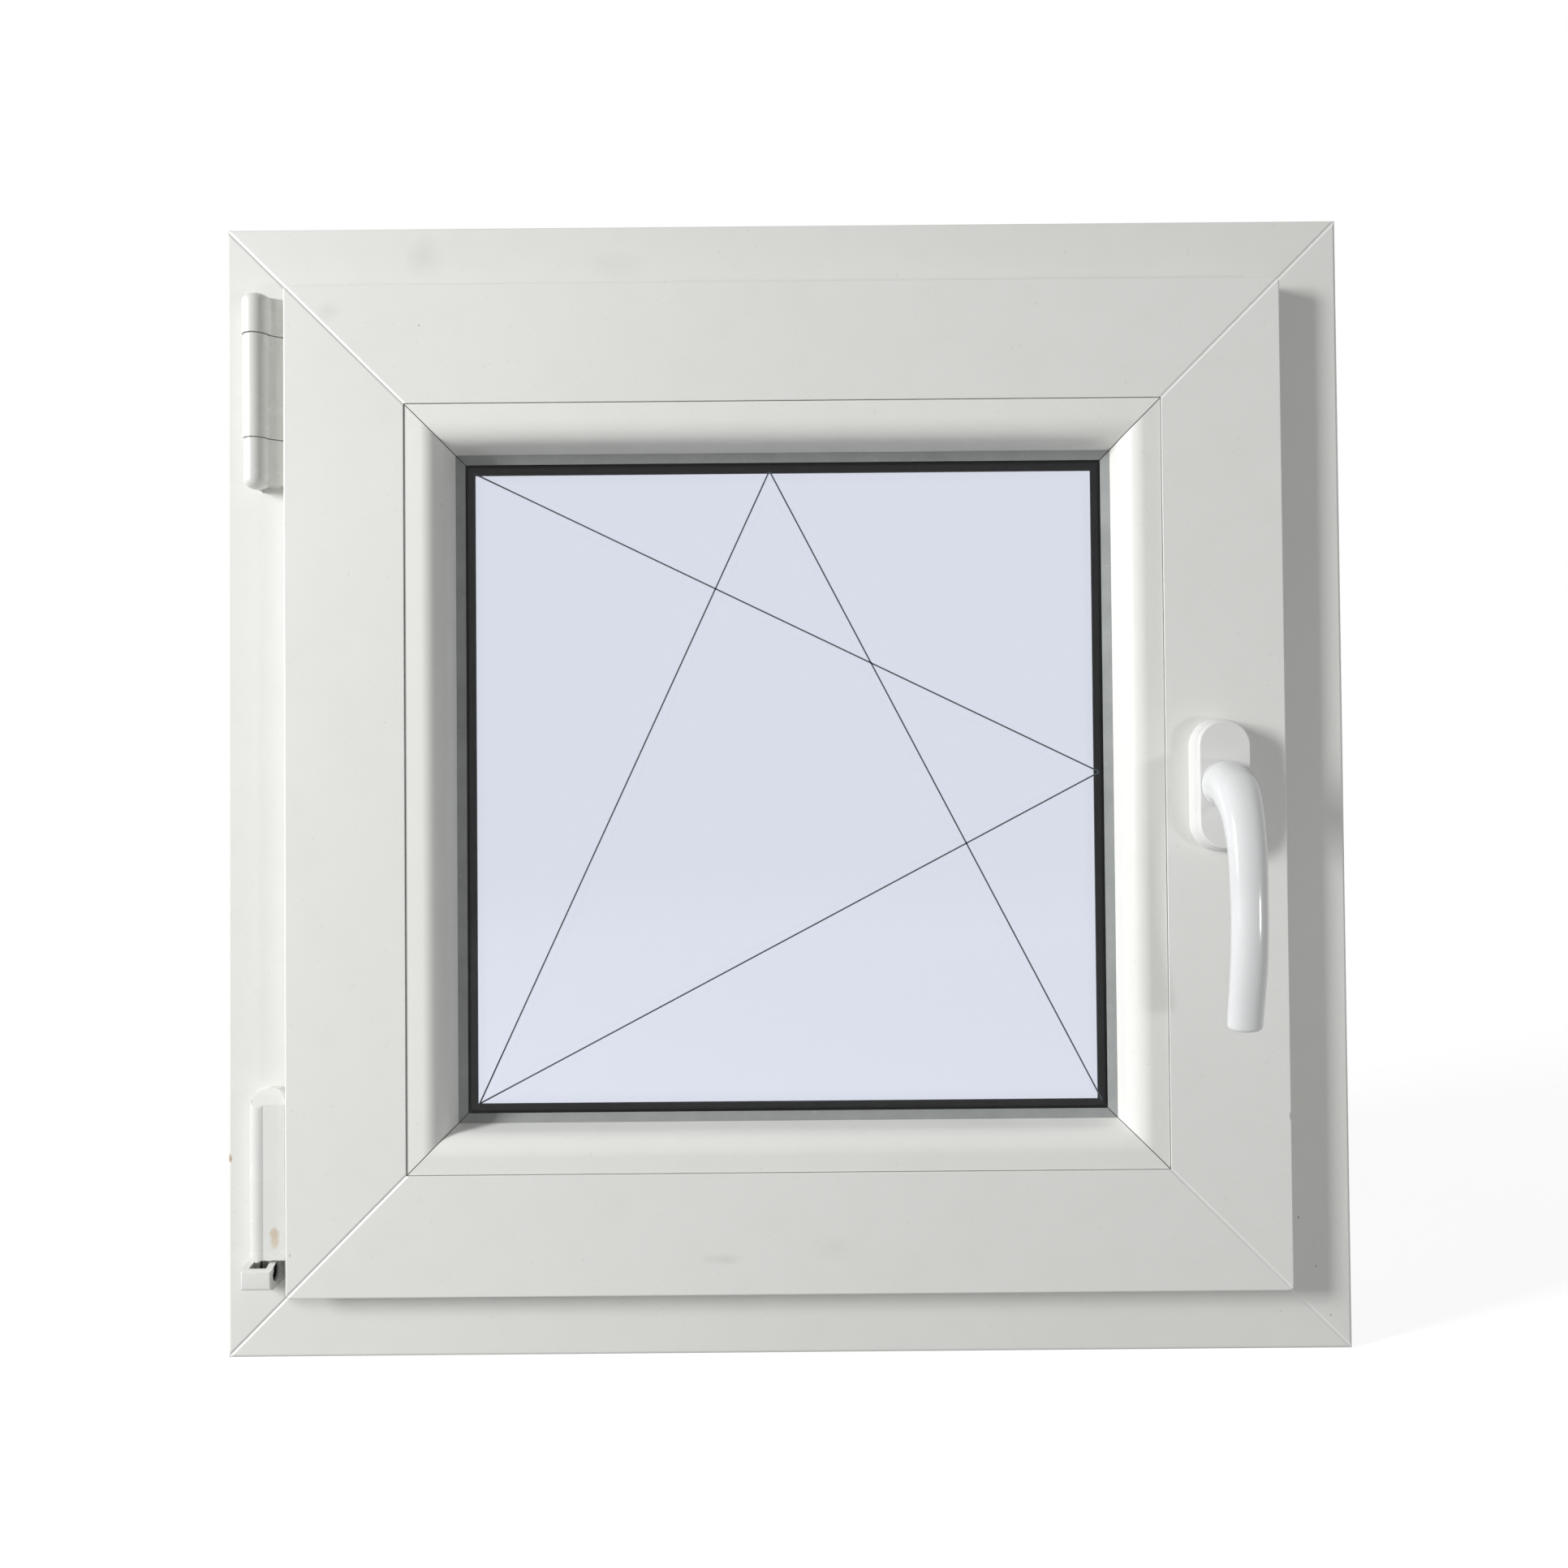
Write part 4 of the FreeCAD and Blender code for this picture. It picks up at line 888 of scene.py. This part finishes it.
class LowerHinge(Operator):
    """Ridged cover of the lower hinge over its pivot bracket, pin and adjusting screw"""

    bl_idname = "window.lower_hinge"
    bl_label = "Lower Hinge"

    def execute(self, context):
        fitting = fittings()
        left, right = COVER_LOW[0], COVER_HIGH[0]
        low, high = COVER_LOW[2], COVER_HIGH[2]
        ridge = (right - fitting.cover_ridge, FRAME_ROOM - fitting.cover_proud, fitting.cover_ridge_radius)
        wing = FRAME_ROOM - fitting.cover_wing
        section = rounded_section([(left, FRAME_ROOM),
                                   (left, FRAME_ROOM - fitting.cover_shoulder, COVER_LEFT_EDGE), ridge,
                                   (right - fitting.cover_crease, wing), (right, wing, COVER_RIGHT_EDGE),
                                   (right, FRAME_ROOM)], 8)
        foot, arch, hood = fitting.cover_foot, fitting.cover_arch, fitting.cover_hood
        quarter = 1 - np.cos(np.linspace(0, math.pi / 2, 17))
        levels = np.unique(np.concatenate([low + foot * quarter, np.linspace(low + foot, high - hood, 8),
                                           np.linspace(high - hood - HOOD_BEND, high - hood + HOOD_BEND, 7),
                                           high - arch * quarter, high - hood * quarter]).round(8))

        def arc(radius, into):
            return radius - np.sqrt(radius ** 2 - np.clip(into, 0, radius) ** 2)

        upper = arc(arch, levels - (high - arch))
        lefts = left + np.maximum(upper, arc(foot, low + foot - levels))
        lean = np.interp(levels, [high - hood, high - fitting.cover_brow, high],
                         [fitting.cover_proud, fitting.cover_brow_proud, fitting.cover_rim_proud])
        proud = lean - arc(COVER_FOOT_EDGE, low + COVER_FOOT_EDGE - levels)
        white = finishes().plastic
        piece("lower_hinge_cover_shell", *clamped_prism(section, levels, lefts, right - upper, proud),
              hinge_plastic("lower_cover_plastic", white, HINGE_MARKS),
              slot="hinge_plastic", nodes=["lower_hinge_cover"], sharp=SHARP_SHELL)
        bracket = bevelled_copy("lower_hinge_bracket_shell", "lower_hinge_bracket",
                                hinge_plastic("bracket_plastic", white), slot="hinge_plastic",
                                bevel=FINE_EDGE)
        lower_front_lip(bracket.data, fitting.bracket_lip, BRACKET_LIP_DEPTH)
        dress("lower_hinge_pin", metal("bright_pin", (0.72, 0.72, 0.70), (0.15, 0.25), 0.15))
        dress("lower_hinge_screw", metal("dark_screw", (0.05, 0.05, 0.05), (0.4, 0.5)))
        return {"FINISHED"}


class TurnHandle(Operator):
    """Two part rosette and bent lever on its square spindle"""

    bl_idname = "window.turn_handle"
    bl_label = "Handle"

    def execute(self, context):
        fitting = fittings()
        around = stage_settings().shell_segments
        width, _, height = PLATE_HIGH - PLATE_LOW
        stack = partial(stadium_stack, (HANDLE_X, HANDLE_Z), height, width)
        plate, face = PLATE_LOW[1], ROSETTE_LOW[1]
        seam = fitting.rosette_taper * (SASH_ROOM - plate) / (SASH_ROOM - face)
        satin = enamel("rosette_satin", (0.785, 0.785, 0.775), (0.3, 0.4), 0.1)
        insets, levels = [0, *(seam + PLATE_RIM[:, 0])], [SASH_ROOM, *(plate + PLATE_RIM[:, 1])]
        piece("base_plate_shell", *stack(insets, levels, around), satin, slot="rosette_plastic",
              nodes=["handle_base_plate"])
        turn, rim, step = np.linspace(0, math.pi / 2, 7), fitting.rosette_rim, seam + fitting.rosette_seam
        insets = [step, step, *(fitting.rosette_taper + rim * (1 - np.cos(turn)))]
        levels = [plate, plate - CAP_LIP, *(face + rim * (1 - np.sin(turn)))]
        piece("rosette_shell", *stack(insets, levels, around), satin, slot="rosette_plastic",
              nodes=["handle_rosette"])
        piece("lever_shell", *lever_tube(around), enamel("lever_enamel", finishes().enamel), body="handle",
              slot="lever_enamel", nodes=["handle_lever"], sharp=SHARP_LEVER)
        dress("handle_spindle", metal("spindle_steel", (0.55, 0.55, 0.53)))
        return {"FINISHED"}


class WindowStage(Operator):
    """Camera, lamps, pale surroundings and the floor that keeps the window's shadow"""

    bl_idname = "window.stage"
    bl_label = "Stage"

    def execute(self, context):
        settings = stage_settings()
        scene = context.scene
        self.camera(scene, settings)
        self.lamps(scene, settings)
        self.surroundings(scene, settings)
        self.floor(settings)
        scene.view_settings.view_transform = "Standard"
        return {"FINISHED"}

    def lamps(self, scene, settings):
        """Area lamps that face the window. The last, behind it, lights only the window and isn't seen."""
        lit = bpy.data.collections.new("lit_from_behind")
        for made in scene.objects:
            if made.type == "MESH":
                lit.objects.link(made)
        middle = Vector((0, FRAME_ROOM, MIDDLE))
        for name, (place, size, power) in LAMPS.items():
            place = Vector(place)
            lamp = bpy.data.lights.new(name, "AREA")
            lamp.shape, lamp.size, lamp.size_y, lamp.energy = "RECTANGLE", *size, getattr(settings, power)
            placed = put(name, lamp)
            facing = (-place).to_track_quat("-Z", "Y").to_matrix().to_4x4()
            placed.matrix_world = Matrix.Translation(middle + place) @ facing
        placed.light_linking.receiver_collection = lit
        placed.visible_camera = placed.visible_transmission = placed.visible_glossy = False

    def camera(self, scene, settings):
        """Looks along Y, turned by yaw, pitch and roll."""
        yaw, pitch, roll = settings.aim
        ahead = Vector((math.sin(yaw) * math.cos(pitch), math.cos(yaw) * math.cos(pitch), math.sin(pitch)))
        level = Vector((math.cos(yaw), -math.sin(yaw), 0))
        above = level.cross(ahead)
        right = math.cos(roll) * level + math.sin(roll) * above
        up = math.cos(roll) * above - math.sin(roll) * level
        data = bpy.data.cameras.new("view")
        data.lens, data.sensor_width, data.sensor_fit = settings.lens, 36, "HORIZONTAL"
        data.clip_start = 0.01
        scene.camera = put("view", data)
        turn = Matrix((right, up, -ahead)).transposed().to_4x4()
        scene.camera.matrix_world = Matrix.Translation(Vector(settings.eye)) @ turn

    def surroundings(self, scene, settings):
        """White where it is seen directly, in gloss or through glass, and an even dim light otherwise."""
        world = bpy.data.worlds.new("pale_room")
        scene.world = world
        world.use_nodes = True
        tree = world.node_tree
        strength = add_node(tree, "MapRange", i0=seen_rays(tree), i3=settings.ambient, i4=1.0)
        background = tree.nodes["Background"].inputs
        background["Color"].default_value = (1, 1, 1, 1)
        tree.links.new(strength, background["Strength"])

    def floor(self, settings):
        """A flat square under the window that fades into the white around it and keeps soft shadows."""
        half = settings.floor_size / 2
        corners = [(-half, -half, 0), (half, -half, 0), (half, half, 0), (-half, half, 0)]
        mesh = bpy.data.meshes.new("floor")
        mesh.from_pydata(corners, [], [[0, 1, 2, 3]])
        put("floor", mesh)
        material = bpy.data.materials.new("pale_floor")
        material.use_nodes = True
        tree = material.node_tree
        tree.nodes.clear()
        matt = add_node(tree, "BsdfDiffuse", Color=(FLOOR_GREY, FLOOR_GREY, FLOOR_GREY, 1))
        place = add_node(tree, "TexCoord", output="Object")
        away = add_node(tree, "VectorMath", {"operation": "LENGTH"}, "Value", i0=place)
        fade = add_node(tree, "MapRange", i0=away, i1=FADE_START, i2=FADE_END, i3=GLOW_NEAR, i4=GLOW_FAR)
        strength = add_node(tree, "Math", {"operation": "MULTIPLY"}, i0=seen_rays(tree), i1=fade)
        glow = add_node(tree, "Emission", Strength=strength)
        both = add_node(tree, "AddShader", i0=matt, i1=glow)
        add_node(tree, "OutputMaterial", Surface=both)
        mesh.materials.append(material)


PIECES = (FrameMembers, SashMembers, GlazingBeads, DoubleGlazing, OpeningTraces, TopHinge, LowerHinge,
          TurnHandle, WindowStage)
GROUPS = {"window_profiles": ProfileSizes, "window_fittings": FittingSizes, "window_finishes": FinishSettings,
          "window_stage": StageSettings}


class WindowPanel(Panel):
    """Lists the window's pieces and their settings"""

    bl_idname = "VIEW3D_PT_tilt_turn_window"
    bl_label = "Tilt and Turn Window"
    bl_space_type = "VIEW_3D"
    bl_region_type = "UI"
    bl_category = "Window"

    def draw(self, context):
        for kind in PIECES:
            self.layout.operator(kind.bl_idname)
        for group, kind in GROUPS.items():
            box = self.layout.box()
            for name in kind.__annotations__:
                box.prop(getattr(context.scene, group), name)


def register():
    for kind in (*GROUPS.values(), *PIECES, WindowPanel):
        bpy.utils.register_class(kind)
    for name, kind in GROUPS.items():
        setattr(bpy.types.Scene, name, PointerProperty(type=kind))


def unregister():
    for name in GROUPS:
        delattr(bpy.types.Scene, name)
    for kind in reversed((*GROUPS.values(), *PIECES, WindowPanel)):
        bpy.utils.unregister_class(kind)


def main():
    register()
    for kind in PIECES:
        group, name = kind.bl_idname.split(".")
        getattr(getattr(bpy.ops, group), name)()


if __name__ == "__main__":
    main()
